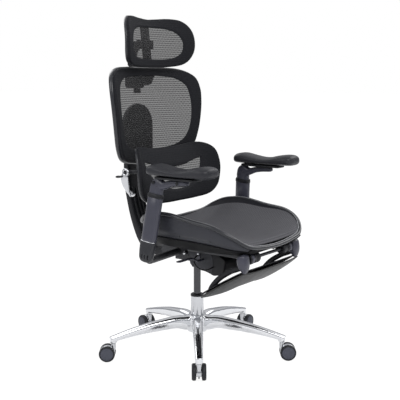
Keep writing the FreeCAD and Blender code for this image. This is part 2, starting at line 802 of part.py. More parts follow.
def make_footrest():
    """Guides under the seat, sliding tubes, cross rod, clamps and the folding pad."""
    guides = []
    for side in (-1, 1):
        tube = cylinder(f"guide_out_{side + 2}", "guide_radius", "footrest_f - 91")
        bore = cylinder(f"guide_in_{side + 2}", "slide_radius + running_clearance", "footrest_f")
        for thing, start in ((tube, "45"), (bore, "30")):
            thing.Placement = FreeCAD.Placement(Vec(), FreeCAD.Rotation(ACROSS, 90))
            bind(
                thing,
                Placement__Base__x=f"{side} * (guide_x + 10)",
                Placement__Base__y=f"0 - {start}",
                Placement__Base__z="footrest_z",
            )
        saddles = [tube]
        for i, start in enumerate(("60", "footrest_f - 96")):
            saddle = block(f"saddle_{side + 2}_{i}", "14", "34", "seat_floor - footrest_z - body_gap")
            bind(
                saddle,
                Placement__Base__x=f"{side} * (guide_x + 10) - 7",
                Placement__Base__y=f"0 - ({start}) - 34",
                Placement__Base__z="footrest_z",
            )
            saddles.append(saddle)
        guides.append(cut(f"guide_{side + 2}", fuse(f"guide_solid_{side + 2}", saddles), bore))
    rails = []
    for side in (-1, 1):
        rail = block(f"rail_{side + 2}", "20", "340", "10 - 2 * body_gap")
        bind(
            rail,
            Placement__Base__x=f"{side} * 78 - 10",
            Placement__Base__y="0 - 270",
            Placement__Base__z="seat_floor - 10 + body_gap",
        )
        rails.append(rail)
    under = doc.addObject("Part::Compound", "seat_rails")
    under.Links = guides + rails
    keep(under, "seat_rails")

    tubes = []
    for side in (-1, 1):
        tube = cylinder(f"slide_tube_{side + 2}", "slide_radius", "footrest_f - 17.5 - 55")
        tube.Placement = FreeCAD.Placement(Vec(), FreeCAD.Rotation(ACROSS, 90))
        bind(
            tube,
            Placement__Base__x=f"{side} * (guide_x + 10)",
            Placement__Base__y="0 - 55",
            Placement__Base__z="footrest_z",
        )
        tubes.append(tube)
    rod = bar_across("cross_rod", "rod_radius", "380", "footrest_f", "footrest_z")
    pair = doc.addObject("Part::Compound", "footrest_tubes")
    pair.Links = tubes + [rod]
    keep(pair, "footrest_tubes")

    clamps = []
    for side in (-1, 1):
        clamp = cylinder(f"clamp_out_{side + 2}", "17", "62")
        bore = cylinder(f"clamp_in_{side + 2}", "rod_radius", "70")
        for thing, start in ((clamp, "guide_x - 20"), (bore, "guide_x - 24")):
            thing.Placement = FreeCAD.Placement(Vec(), FreeCAD.Rotation(Vec(0, 1, 0), 90 * side))
            bind(
                thing,
                Placement__Base__x=f"{side} * ({start})",
                Placement__Base__y="0 - footrest_f",
                Placement__Base__z="footrest_z",
            )
        clamps.append(cut(f"clamp_{side + 2}", clamp, bore))
    pair = doc.addObject("Part::Compound", "footrest_clamps")
    pair.Links = clamps
    keep(pair, "footrest_clamps")

    caps = []
    for side in (-1, 1):
        cap = padded_body(
            f"cap_{side + 2}",
            [
                (f"0 - footrest_f + {y}", f"footrest_z + {z}")
                for y, z in ((9, 12), (4, 18), (-8, 18), (-16, 9), (-20, -32), (-16, -44), (-6, -44),
                             (6, -14))
            ],
            "34",
            "YZ_Plane",
        )
        bind(cap, Placement__Base__x=f"{side} * (guide_x + 74) - 17")
        caps.append(cap)
    solid = doc.addObject("Part::Compound", "caps_solid")
    solid.Links = caps
    hole = bar_across("cap_hole", "rod_radius + running_clearance", "500", "footrest_f", "footrest_z")
    keep(cut("footrest_caps", solid, hole), "footrest_caps")
    make_footrest_pad()


def pad_line(along, out):
    """A point of the stowed pad's side view: along it from the hinge, and out from its inner face."""
    turn = math.radians(PAD_SLOPE)
    f = size("footrest_f") + 12.0 - along * math.cos(turn) + out * math.sin(turn)
    z = size("footrest_z") - 40.0 - along * math.sin(turn) - out * math.cos(turn)
    return f, z


PAD_SLOPE = 31.5
PAD_STATIONS = [(0.0, 0.78, 8.0), (30.0, 0.89, 15.0), (80.0, 0.96, 20.0), (140.0, 0.97, 20.0),
                (188.0, 0.92, 13.0), (203.0, 0.84, 6.0)]
RECESS_HALF = 110.0
RECESS_START = 146.0


def make_footrest_pad():
    """The calf pad: crowned outside, with a recess between its two rear lobes, and its braces."""
    sections = []
    for along, wide, thick in PAD_STATIONS:
        half = wide * size("footrest_pad_half")
        ring = []
        steps = 10
        for i in range(steps + 1):
            share = -1.0 + 2.0 * i / steps
            crown = 2.0 + (thick - 2.0) * (1.0 - abs(share) ** 4)
            f, z = pad_line(along, crown)
            ring.append((share * half, -f, z))
        f, z = pad_line(along, 0.0)
        ring += [(half, -f, z), (-half, -f, z)]
        sections.append(straight_wire(ring))
    body = one_solid(Part.makeLoft(sections, True, False))
    corner = [pad_line(RECESS_START, -10.0), pad_line(RECESS_START, 40.0)]
    corner += [pad_line(RECESS_START + 90.0, 40.0), pad_line(RECESS_START + 90.0, -10.0)]
    body = body.cut(plate_yz(corner, -RECESS_HALF, RECESS_HALF))
    doc.recompute()
    caps = pieces["footrest_caps"].Shape
    free_shape("footrest_pad", one_solid(body.cut(caps)))

    bars = []
    for side in (-1, 1):
        x = side * (size("guide_x") + 72.0)
        start = (size("footrest_f") - 2.0, size("footrest_z") - 22.0)
        tip = pad_line(180.0, -5.5)
        route = [start, (start[0] - 46.0, start[1] - 12.0), (tip[0] + 44.0, tip[1] + 74.0),
                 (tip[0] + 6.0, tip[1] + 26.0), tip]
        bar = round_bar([(x, -f, z) for f, z in route], 5.0)
        bars.append(one_solid(bar.cut(caps).cut(body)))
    free_shape("footrest_braces", Part.makeCompound(bars))


# The back's hoop, right half from the top down: share of the half width and height below the top.
BACK_HALF_OUTLINE = [(0.39, 0.0), (0.72, 3.0), (0.92, 24.0), (0.985, 68.0), (0.985, 120.0),
                     (0.965, 180.0),
                     (0.93, 240.0), (0.87, 296.0), (0.72, 331.0), (0.39, 349.0)]
BACK_BOW = 76.0
BACK_SIDE_F = -166.0


def back_forward(x, z):
    """Forward distance of the back's surface: bowed across, and leaning back towards the top."""
    above = max(0.0, z - 850.0) / 230.0
    share = min(1.0, abs(x) / size("back_half"))
    return BACK_SIDE_F - 22.0 * above ** 2 - BACK_BOW * (1.0 - share ** 2)


def back_hoop_points():
    """The centre line of the back's hoop."""
    top = size("back_top") - size("back_rim")
    half = size("back_half") - size("back_rim") + 4.0
    right = [(share * half, top - drop) for share, drop in BACK_HALF_OUTLINE]
    ring = [(0.0, top)] + right + [(0.0, top - 353.0)] + [(-x, z) for x, z in reversed(right)]
    return [(x, -back_forward(x, z), z) for x, z in ring]


def back_mesh_shape():
    """The woven back inside the hoop, as a thin bowed sheet."""
    top = size("back_top") - size("back_rim")
    half = size("back_half") - size("back_rim") + 4.0
    edge = size("back_rim") + size("body_gap")
    stations = [(14.0, 0.62), (26.0, 0.80), (68.0, 0.985), (120.0, 0.985), (180.0, 0.965),
                (240.0, 0.93),
                (290.0, 0.84), (322.0, 0.60), (334.0, 0.44)]
    sections = []
    for drop, wide in stations:
        z = top - drop
        inner = wide * half - edge - 3.0
        steps = 8
        line = [inner * (-1.0 + 2.0 * i / steps) for i in range(steps + 1)]
        front = [(x, -back_forward(x, z), z) for x in line]
        ring = front + [(x, y + MESH_THICK, z) for x, y, z in reversed(front)]
        sections.append(straight_wire(ring))
    return one_solid(Part.makeLoft(sections, True, False))


def casting_shape():
    """The recliner: side plates on the shaft, a rear bar and the two arm brackets."""
    f0, z0 = size("recline_f"), size("recline_z")
    inner = size("mech_width") / 2 + 2.5
    outline = [(12, 10), (14, -2), (6, -13), (-30, -20), (-112, -18), (-126, -4), (-112, 16),
               (-30, 16), (4, 14)]
    plates = []
    for side in (-1, 1):
        low = side * inner if side > 0 else -inner - 8.0
        plates.append(plate_yz([(f0 + f, z0 + z) for f, z in outline], low, low + 8.0))
    bar = Part.makeBox(2 * inner + 16, 36, 30, Vec(-inner - 8, 76 - f0, z0 - 16))
    shape = bar.fuse(plates)
    for side in (-1, 1):
        foot = post_foot(side)
        route = [
            (side * (inner + 4), 40 - f0, z0),
            (side * 140, 36 - f0, z0 - 1),
            (side * 220, 26 - f0, z0),
            (side * (size("post_x") - 8), foot.y + 8, z0 + 8),
            (side * (size("post_x") + 1), foot.y + 1, z0 + 42),
            (foot.x, foot.y, foot.z + 6),
        ]
        seat = Part.makeBox(90, 120, 60, Vec(-45, -60, 0))
        seat.Placement = FreeCAD.Placement(foot, post_turn(side)).multiply(seat.Placement)
        shape = shape.fuse(round_bar(route, 13.5).cut(seat))
    hole = Part.makeCylinder(size("shaft_radius"), 400, Vec(-200, -f0, z0), ACROSS)
    return one_solid(shape.cut(hole).removeSplitter())


def post_foot(side):
    """The middle of a sleeve's lower end."""
    return Vec(side * size("post_x"), -7.0, 489.0)


def post_turn(side):
    """The lean of an arm post: forward, and inward at the top."""
    lean = FreeCAD.Rotation(ACROSS, size("post_lean"))
    splay = FreeCAD.Rotation(Vec(0, 1, 0), -side * size("post_splay"))
    return splay * lean


# The chrome yoke from the spine, behind the lumbar, round to the lumbar pivot.
YOKE_ROUTE = ((30, 326, 626), (100, 250, 628), (160, 182, 632), (218, 150, 640), (246, 143, 668),
              (262, 140, 716), (262, 133, 728))

# The spine's side view, as forward distances and heights: down its rear, then up its front.
SPINE_SIDE = ((-327, 925), (-332, 860), (-342, 790), (-346, 715), (-342, 640), (-332, 588), (-318, 528),
              (-300, 474), (-276, 424), (-246, 386), (-200, 370), (-112, 378), (-112, 420), (-190, 410),
              (-214, 424), (-240, 450), (-264, 490), (-285, 537), (-300, 592), (-310, 640), (-314, 715),
              (-313, 790), (-309, 860), (-309, 925))


def make_recliner():
    """What tilts with the back: casting, spine, oval plate and chrome yoke."""
    casting = casting_shape()
    free_shape("rear_casting", casting)
    disc = cylinder("plate_head", "spine_plate_width / 2", "14")
    disc.Placement = FreeCAD.Placement(Vec(), FreeCAD.Rotation(ACROSS, -90))
    bind(disc, Placement__Base__y="295", Placement__Base__z="back_top - 226")
    tail = block("plate_tail", "spine_plate_width", "14", "116")
    bind(tail, Placement__Base__x="0 - spine_plate_width / 2", Placement__Base__y="295",
         Placement__Base__z="back_top - 342")
    keep(fuse("spine_plate", [disc, tail]), "spine_plate")
    doc.recompute()
    heads = []
    top = size("back_top") - 226.0
    half = size("spine_width") / 2
    slab = rounded(plate_yz(SPINE_SIDE, -half, half), 5.0, lambda edge: edge.BoundBox.XLength < 1)
    spine = one_solid(slab.cut(casting))
    free_shape("back_spine", spine)
    for side in (-1, 1):
        head = Part.makeCylinder(11.5, 9, Vec(0, 132, 730), ACROSS)
        head.translate(Vec(258 if side > 0 else -267, 0, 0))
        arm = round_bar([(side * x, y, z) for x, y, z in YOKE_ROUTE], 6.5)
        bore = Part.makeCylinder(4.0 + size("running_clearance"), 40,
                                 Vec(250 if side > 0 else -290, 132, 730), ACROSS)
        heads.append(one_solid(arm.fuse(head).cut(spine).cut(bore)))
    free_shape("chrome_yoke", Part.makeCompound(heads))

    screws = []
    for x in (-60, 60):
        for z in (-34, 34):
            head = Part.makeCylinder(5.5, 3, Vec(x, 309, top + z), Vec(0, 1, 0))
            hexagon = Part.makeCylinder(2.2, 2, Vec(x, 310, top + z), Vec(0, 1, 0))
            screws.append(head.cut(hexagon))
    free_shape("recliner_screws", Part.makeCompound(screws))


LUMBAR_HALF_OUTLINE = [(0.39, -155.0, 797.0), (0.76, -138.0, 806.0), (0.95, -106.0, 785.0),
                       (1.0, -80.0, 738.0), (1.0, -73.0, 686.0), (0.94, -77.0, 640.0),
                       (0.76, -83.0, 615.0), (0.39, -86.0, 608.0)]


def make_lumbar():
    """The tilting lumbar support: hoop, woven sheet and its two pivot arms."""
    half = size("lumbar_half") - 4.0
    right = [(share * half, -f, z) for share, f, z in LUMBAR_HALF_OUTLINE]
    ring = [(0.0, 159.0, 792.0)] + right + [(0.0, 87.0, 608.0)]
    ring += [(-x, y, z) for x, y, z in reversed(right)]
    hoop = round_hoop(ring, 9.0)
    free_shape("lumbar_frame", hoop)
    sections = []
    for share in (-0.9, -0.7, -0.4, 0.0, 0.4, 0.7, 0.9):
        x = share * half
        wide = abs(share)
        high = 792.0 + 12.0 * wide - (22.0 if wide > 0.8 else 0.0)
        low = 607.0 + 6.0 * wide + (20.0 if wide > 0.8 else 0.0)
        top_y = 159.0 - 22.0 * wide ** 2 - (16.0 if wide > 0.8 else 0.0)
        low_y = 87.0 - 6.0 * wide
        top_z, low_z = high - 11.0, low + 11.0
        middle_y = 0.5 * (top_y + low_y) - 8.0
        middle_z = 0.5 * (top_z + low_z)
        ring = [(x, top_y - 4, top_z), (x, middle_y, middle_z), (x, low_y + 4, low_z)]
        ring += [(x, y + MESH_THICK, z) for x, y, z in reversed(ring)]
        sections.append(straight_wire(ring))
    free_shape("lumbar_mesh", one_solid(Part.makeLoft(sections, True, False).cut(hoop)))
    arms = []
    for side in (-1, 1):
        start = 250.0 if side > 0 else -270.0
        pin = Part.makeCylinder(4.0, 20, Vec(start, 132, 730), ACROSS)
        arm = round_bar([(side * 249, 134, 730), (side * 247, 112, 732), (side * 242, 84, 735)], 6.0)
        arms.append(one_solid(arm.fuse(pin).cut(hoop)))
    free_shape("lumbar_arms", Part.makeCompound(arms))


def make_back():
    """The back that slides up and down: hoop, woven sheet, carrier and the headrest's bracket."""
    hoop = round_hoop(back_hoop_points(), size("back_rim"))
    free_shape("back_frame", hoop)
    free_shape("back_mesh", back_mesh_shape())
    low = size("back_top") - 376.0
    carrier = rounded(Part.makeBox(52, 38.6, 100, Vec(-26, 256, low)), 6.0)
    foot = Part.makeBox(52, 32, 24, Vec(-26, 238, low + 3))
    free_shape("back_carrier", one_solid(carrier.fuse(foot).cut(hoop)))
    top = size("back_top")
    gap = size("body_gap")
    housing = rounded(Part.makeBox(64, 60, 50, Vec(-32, 284, top - 78)), 12.0)
    neck = Part.makeBox(56, 26, 22, Vec(-28, 269, top - 34))
    slot = Part.makeBox(32 + 2 * gap, 10 + 2 * gap, 200, Vec(-16 - gap, SLIDER_BACK - gap, top - 160))
    free_shape("headrest_bracket", one_solid(housing.fuse(neck).cut(slot).cut(hoop)))


HEAD_HALF_OUTLINE = [(0.50, -236.0, 1.0), (0.84, -200.0, 0.93), (0.965, -184.0, 0.76),
                     (0.985, -176.0, 0.50),
                     (0.965, -176.0, 0.26), (0.84, -190.0, 0.08), (0.50, -214.0, 0.01)]
HEAD_PIVOT = (-284.0, 1205.0)
SLIDER_BACK = 297.0

# The side view of the headrest's arm above its slider: it bows back, then comes forward to the pivot.
HEAD_ARM_SIDE = [(-297, 1094), (-315, 1122), (-320, 1150), (-308, 1180), (-290, 1195), (-286, 1214),
                 (-318, 1206),
                 (-336, 1166), (-337, 1126), (-307, 1096)]


def make_headrest():
    """The headrest: slider with its eye, tilting bar, hoop and woven pad."""
    pivot_f, pivot_z = HEAD_PIVOT
    top = size("back_top")
    bar = Part.makeBox(32, 10, 86, Vec(-16, SLIDER_BACK, top - 98))
    arm = plate_yz(HEAD_ARM_SIDE, -16, 16)
    eye = Part.makeCylinder(11, 52, Vec(-26, -pivot_f, pivot_z), ACROSS)
    pin = Part.makeCylinder(5, 88, Vec(-44, -pivot_f, pivot_z), ACROSS)
    free_shape("headrest_slider", one_solid(bar.fuse([arm, eye, pin]).removeSplitter()))

    radius = 8.0
    low = size("head_bottom") + radius
    high = size("head_top") - radius
    half = size("head_half")
    right = [(share * half, -f, low + up * (high - low)) for share, f, up in HEAD_HALF_OUTLINE]
    ring = [(0.0, 252.0, high)] + right + [(0.0, 228.0, low)] + [(-x, y, z) for x, y,
                                                                 z in reversed(right)]
    hoop = round_hoop(ring, radius)
    free_shape("headrest_frame", hoop)
    slab = plate_yz([(-257, high), (-270, high), (-251, low), (-238, low)], -19, 19)
    cross = Part.makeBox(84, 16, 34, Vec(-42, 250, pivot_z - 17))
    parts = [cross]
    for side in (-1, 1):
        low_x = 27.0 if side > 0 else -42.0
        parts.append(Part.makeBox(15, 30, 20, Vec(low_x, 254, pivot_z - 10)))
        parts.append(Part.makeCylinder(12, 15, Vec(low_x, -pivot_f, pivot_z), ACROSS))
    shape = slab.fuse(parts)
    bore = Part.makeCylinder(5 + size("running_clearance"), 120, Vec(-60, -pivot_f, pivot_z), ACROSS)
    room = Part.makeCylinder(12.5, 53.6, Vec(-26.8, -pivot_f, pivot_z), ACROSS)
    free_shape("headrest_bar", one_solid(shape.cut(bore).cut(room).cut(hoop).removeSplitter()))

    sections = []
    for share in (-0.93, -0.84, -0.5, 0.0, 0.5, 0.84, 0.93):
        wide = abs(share)
        bow = 1.0 - wide ** 2
        drop = 40.0 if wide > 0.9 else (8.0 + 14.0 * wide ** 4)
        z_high, z_low = high - drop - 2, low + drop + 2
        y_high, y_low = 183.0 + 67.0 * bow, 181.0 + 45.0 * bow
        ring = [(share * half, y_high, z_high),
                (share * half, 0.5 * (y_high + y_low) - 5, 0.5 * (z_high + z_low)),
                (share * half, y_low, z_low)]
        ring += [(x, y + MESH_THICK, z) for x, y, z in reversed(ring)]
        sections.append(straight_wire(ring))
    sheet_shape = one_solid(Part.makeLoft(sections, True, False))
    free_shape("headrest_mesh", one_solid(sheet_shape.cut(hoop)))


def oval_rules(wide, deep):
    """An eight-sided rounded outline, as rules, centred on the origin."""
    half_x, half_y = f"({wide}) / 2", f"({deep}) / 2"
    nip = f"0.3 * ({wide})"
    return [
        (f"{half_x} - {nip}", f"0 - {half_y}"),
        (half_x, f"0 - {half_y} + {nip}"),
        (half_x, f"{half_y} - {nip}"),
        (f"{half_x} - {nip}", half_y),
        (f"0 - {half_x} + {nip}", half_y),
        (f"0 - {half_x}", f"{half_y} - {nip}"),
        (f"0 - {half_x}", f"0 - {half_y} + {nip}"),
        (f"0 - {half_x} + {nip}", f"0 - {half_y}"),
    ]


# The pad's stations along its length: share, half width share, top and bottom above pad_z.
ARM_PAD_STATIONS = [(0.0, 0.60, 8.0, -2.0), (0.04, 0.86, 24.0, -8.0), (0.15, 0.98, 30.0, -9.0),
                    (0.5, 1.0, 15.0, -9.0),
                    (0.84, 1.0, 31.0, -9.0), (0.96, 0.90, 31.0, -7.0), (1.0, 0.64, 19.0, 3.0)]


PAD_PIVOT_RADIUS = 12.0


def arm_pad_shape(side):
    """A soft pad with raised ends, a crown and drawn-in sides."""
    sections = []
    for along, wide, high, low in ARM_PAD_STATIONS:
        half = wide * size("pad_width") / 2
        y = -along * size("pad_length")
        top = size("pad_z") + high
        bottom = size("pad_z") + low
        middle = 0.5 * (top + bottom)
        ring = [(-half, middle), (-0.86 * half, top - 4), (-0.5 * half, top), (0, top + 1),
                (0.5 * half, top),
                (0.86 * half, top - 4), (half, middle), (0.86 * half, bottom), (-0.86 * half, bottom)]
        sections.append(straight_wire([(side * size("pad_x") + x, y, z) for x, z in ring]))
    return one_solid(Part.makeLoft(sections, True, False))


def make_arm(side, name):
    """One armrest: fixed sleeve, rising stem with its button, sliding plate and turning pad."""
    gap = size("body_gap")
    outer = padded_body(f"sleeve_out_{name}", oval_rules("sleeve_thick", "sleeve_wide"),
                        "sleeve_length")
    inner = padded_body(
        f"sleeve_in_{name}",
        oval_rules("sleeve_thick - 2 * sleeve_wall", "sleeve_wide - 2 * sleeve_wall"),
        "sleeve_length + 10",
    )
    inner.Placement = FreeCAD.Placement(Vec(0, 0, 8), FreeCAD.Rotation())
    sleeve = cut(f"arm_sleeve_{name}", outer, inner)
    sleeve.Placement = FreeCAD.Placement(post_foot(side), post_turn(side))
    keep(sleeve, f"arm_sleeve_{name}")

    post = padded_body(
        f"post_{name}",
        oval_rules("sleeve_thick - 2 * sleeve_wall - 2 * body_gap",
                   "sleeve_wide - 2 * sleeve_wall - 2 * body_gap"),
        "sleeve_length + 26",
    )
    post.Placement = FreeCAD.Placement(Vec(0, 0, 12), FreeCAD.Rotation())
    doc.recompute()
    shape = post.Shape.copy()
    shape.Placement = FreeCAD.Placement(post_foot(side), post_turn(side)).multiply(post.Placement)
    x = side * size("pad_x")
    top = size("pad_z") - 21.0
    bracket = plate_yz([(-2, top - 34), (6, top - 6), (14, top), (166, top), (168, top - 6),
                        (120, top - 14), (56, top - 22),
                        (44, top - 36)], x - 13, x + 13)
    button_y, button_z = -22.0, top - 14.0
    out = x + side * 13.0
    bore = Part.makeCylinder(6.05, 8.0, Vec(out - side * 8.0, button_y, button_z), Vec(side, 0, 0))
    stem = one_solid(shape.fuse(bracket).cut(bore).removeSplitter())
    cap = Part.makeCylinder(6.0, 8.0, Vec(out - side * 4.0, button_y, button_z), Vec(side, 0, 0))
    free_shape(f"arm_stem_{name}", stem)
    free_shape(f"arm_button_{name}", cap)

    thick = 11.0 - 2 * gap
    plate = rounded(Part.makeBox(64, 176, thick, Vec(x - 32, -212, top + gap)), 4.0,
                    lambda edge: abs(edge.Length - thick) < 0.01)
    pivot = Vec(x, -124, top + 5)
    bore = Part.makeCylinder(PAD_PIVOT_RADIUS + size("running_clearance"), 20, pivot)
    free_shape(f"pad_base_{name}", plate.cut(bore))
    boss = Part.makeCylinder(PAD_PIVOT_RADIUS, 12, pivot)
    free_shape(f"arm_pad_{name}", arm_pad_shape(side).fuse(boss).removeSplitter())


# The cable from the lever's bracket round to the mechanism's shell, by hand.
CABLE_POINTS = [(-73.4, 60, 410), (-92, 58, 406), (-111, 66, 391), (-117, 88, 373), (-105, 111, 363),
                (-88, 122, 366), (-70, 128, 372)]


def make_cable():
    """The control cable's free loop, held at both ends."""
    free_shape("control_cable", round_bar([(x, -f, z) for x, f, z in CABLE_POINTS], 2.5))


def check_and_write():
    """Recomputes, stops at any failed object, and writes each sub-part to its own file."""
    doc.recompute()
    for thing in doc.Objects:
        bad = [word for word in ("Invalid", "Error") if word in thing.State]
        if bad:
            raise RuntimeError(f"{thing.Name} is {bad[0]}: {thing.getStatusString()}")
    for node, thing in pieces.items():
        shape = thing.Shape
        if shape.isNull() or not shape.isValid() or not shape.Solids:
            raise RuntimeError(f"{node} has no valid solid")
    os.makedirs("parts", exist_ok=True)
    for node, thing in pieces.items():
        thing.Shape.exportStep(os.path.join("parts", node + ".step"))
    print(len(pieces), "sub-parts written")


make_base()
for leg in range(5):
    make_castor(leg)
make_column()
make_mechanism()
make_levers()
make_cable()
make_seat()
make_footrest()
make_recliner()
make_lumbar()
make_back()
make_headrest()
for side, name in ((-1, "right"), (1, "left")):
    make_arm(side, name)
check_and_write()
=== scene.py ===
"""Visual model of a reclining office chair with a footrest that slides out from under the seat.

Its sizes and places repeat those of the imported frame. Lengths are metres, +Z is up, the chair faces -Y,
and +X is the sitter's left. A forward distance, named f, is the same as -Y.
"""

import json
import logging
import math
from dataclasses import dataclass, field
from enum import Enum
from typing import Callable, Iterable, Sequence

import bmesh
import bpy
import numpy as np
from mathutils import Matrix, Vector

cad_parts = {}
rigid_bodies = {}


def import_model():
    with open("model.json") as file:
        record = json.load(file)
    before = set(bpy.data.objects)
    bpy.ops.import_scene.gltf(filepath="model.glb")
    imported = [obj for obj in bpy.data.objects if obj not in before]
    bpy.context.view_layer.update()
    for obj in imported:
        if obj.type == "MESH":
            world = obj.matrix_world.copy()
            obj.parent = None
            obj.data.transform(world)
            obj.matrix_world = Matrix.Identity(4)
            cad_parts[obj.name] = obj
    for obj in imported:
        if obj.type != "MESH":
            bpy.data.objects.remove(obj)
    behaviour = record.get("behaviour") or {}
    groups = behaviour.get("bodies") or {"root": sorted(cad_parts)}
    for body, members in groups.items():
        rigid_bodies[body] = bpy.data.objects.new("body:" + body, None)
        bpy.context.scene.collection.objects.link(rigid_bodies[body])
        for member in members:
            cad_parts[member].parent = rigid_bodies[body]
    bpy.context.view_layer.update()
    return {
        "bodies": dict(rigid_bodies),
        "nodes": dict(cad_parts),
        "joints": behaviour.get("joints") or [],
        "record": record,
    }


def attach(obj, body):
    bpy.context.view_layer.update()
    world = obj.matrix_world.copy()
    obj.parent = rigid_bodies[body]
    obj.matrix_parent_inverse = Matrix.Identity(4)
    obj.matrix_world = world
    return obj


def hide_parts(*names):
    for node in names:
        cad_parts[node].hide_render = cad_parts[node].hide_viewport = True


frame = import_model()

LOG = logging.getLogger("reclining_chair")
TAU = 2.0 * math.pi
# Points nearer than this become one.
MERGE = 1e-6

Array = np.ndarray
Socket = bpy.types.NodeSocket
Piece = bpy.types.Object

ACROSS = np.array([1.0, 0.0, 0.0])
UPWARD = np.array([0.0, 0.0, 1.0])


class Side(Enum):
    """The two sides of the chair, as the sign of X."""

    RIGHT = -1
    LEFT = 1

    @property
    def word(self) -> str:
        """The side's name in the frame's nodes."""
        return self.name.lower()


class Tree:
    """A material's nodes, made and linked in short calls."""

    def __init__(self, name: str) -> None:
        """Makes an empty material with a Principled shader.

        Args:
            name: The material's name.
        """
        self.material = bpy.data.materials.new(name)
        self.material.use_nodes = True
        self.nodes = self.material.node_tree.nodes
        self.links = self.material.node_tree.links
        self.shader = self.nodes["Principled BSDF"]
        self.output = self.nodes["Material Output"]
        self.place = self.nodes.new("ShaderNodeTexCoord").outputs["Object"]

    def add(self, kind: str, **settings: object) -> bpy.types.Node:
        """Adds a node and sets its properties.

        Args:
            kind: The node's type.
            settings: Properties of the node, by name.

        Returns:
            The new node.
        """
        node = self.nodes.new(kind)
        for key, value in settings.items():
            setattr(node, key, value)
        return node

    def feed(self, socket: Socket, value: object) -> None:
        """Links a socket to another, or sets its own value.

        Args:
            socket: The input.
            value: A socket to link, or a constant.
        """
        if isinstance(value, bpy.types.NodeSocket):
            self.links.new(value, socket)
        else:
            socket.default_value = value

    def math(self, operation: str, *values: object, clamp: bool = False) -> Socket:
        """A Math node of sockets or numbers.

        Args:
            operation: The node's operation.
            values: The inputs in order.
            clamp: Whether the result stays from 0 to 1.

        Returns:
            The result's socket.
        """
        node = self.add("ShaderNodeMath", operation=operation, use_clamp=clamp)
        for socket, value in zip(node.inputs, values):
            self.feed(socket, value)
        return node.outputs[0]

    def mapped(self, scale: Sequence[float]) -> Socket:
        """Object coordinates with so many repeats per metre along each axis.

        Args:
            scale: Repeats per metre along each axis.

        Returns:
            The vector's socket.
        """
        node = self.add("ShaderNodeMapping", vector_type="POINT")
        node.inputs["Scale"].default_value = scale
        self.feed(node.inputs["Vector"], self.place)
        return node.outputs[0]

    def noise(self, scale: float, detail: float = 3.0, vector: Socket | None = None) -> Socket:
        """Smooth noise from 0 to 1 at a number of features per metre.

        Args:
            scale: Features per metre.
            detail: How many finer layers it has.
            vector: Where it is read; object coordinates where it is missing.

        Returns:
            The noise's socket.
        """
        node = self.add("ShaderNodeTexNoise")
        node.inputs["Scale"].default_value = scale
        node.inputs["Detail"].default_value = detail
        self.feed(node.inputs["Vector"], vector or self.place)
        return node.outputs["Fac"]

    def cells(self, scale: float, vector: Socket | None = None) -> Socket:
        """The distance to the nearest cell centre, for grain and pits.

        Args:
            scale: Features per metre.
            vector: Where it is read; object coordinates where it is missing.

        Returns:
            The distance's socket.
        """
        node = self.add("ShaderNodeTexVoronoi")
        node.inputs["Scale"].default_value = scale
        self.feed(node.inputs["Vector"], vector or self.place)
        return node.outputs["Distance"]

    def spread(self, value: Socket, low: float, high: float) -> Socket:
        """A value from 0 to 1 moved to another range.

        Args:
            value: The value.
            low: What 0 becomes.
            high: What 1 becomes.

        Returns:
            The new value's socket.
        """
        node = self.add("ShaderNodeMapRange")
        node.inputs["To Min"].default_value = low
        node.inputs["To Max"].default_value = high
        self.feed(node.inputs["Value"], value)
        return node.outputs["Result"]

    def blend(self, share: Socket, first: Sequence[float], second: Sequence[float]) -> Socket:
        """A colour between two, by a share from 0 to 1.

        Args:
            share: The second colour's share.
            first: The colour at 0.
            second: The colour at 1.

        Returns:
            The colour's socket.
        """
        node = self.add("ShaderNodeMix", data_type="RGBA")
        self.feed(node.inputs["Factor"], share)
        node.inputs["A"].default_value = (*first, 1.0)
        node.inputs["B"].default_value = (*second, 1.0)
        return node.outputs["Result"]

    def bump(self, height: Socket, depth: float, under: Socket | None = None) -> Socket:
        """A normal pushed by a height, on top of another bump.

        Args:
            height: The height from 0 to 1.
            depth: The height of 1 in metres.
            under: The normal that it adds to.

        Returns:
            The normal socket.
        """
        node = self.add("ShaderNodeBump")
        node.inputs["Strength"].default_value = 1.0
        node.inputs["Distance"].default_value = depth
        self.feed(node.inputs["Height"], height)
        if under is not None:
            self.feed(node.inputs["Normal"], under)
        return node.outputs["Normal"]

    def finish(self, **inputs: object) -> bpy.types.Material:
        """Sets or links the shader's own sockets.

        Args:
            inputs: Socket names, with an underscore for each space.

        Returns:
            The finished material.
        """
        for key, value in inputs.items():
            self.feed(self.shader.inputs[key.replace("_", " ")], value)
        return self.material


Colour = tuple[float, float, float]


def shade(colour: Colour, share: float) -> Colour:
    """A colour made lighter or darker by a share of itself."""
    return tuple(min(1.0, c * share) for c in colour)


@dataclass(frozen=True)
class MouldedPlastic:
    """Injection-moulded plastic with a fine spark-eroded grain and rubbed patches."""

    name: str
    colour: Colour
    roughness: float = 0.45
    grain: float = 1400.0
    depth: float = 0.00006
    coat: float = 0.0
    shine: float = 0.3

    def make(self) -> bpy.types.Material:
        """Builds the material.

        Returns:
            The material.
        """
        t = Tree(self.name)
        wear = t.noise(9.0, 4.0)
        fine = t.noise(self.grain, 2.0)
        tint = t.blend(wear, shade(self.colour, 0.86), shade(self.colour, 1.16))
        rough = t.spread(t.noise(26.0, 5.0), self.roughness - 0.07, self.roughness + 0.09)
        normal = t.bump(fine, self.depth, t.bump(t.noise(18.0, 2.0), 0.0002))
        return t.finish(Base_Color=tint, Roughness=rough, Normal=normal, Coat_Weight=self.coat,
                        Coat_Roughness=0.18, Specular_IOR_Level=self.shine)


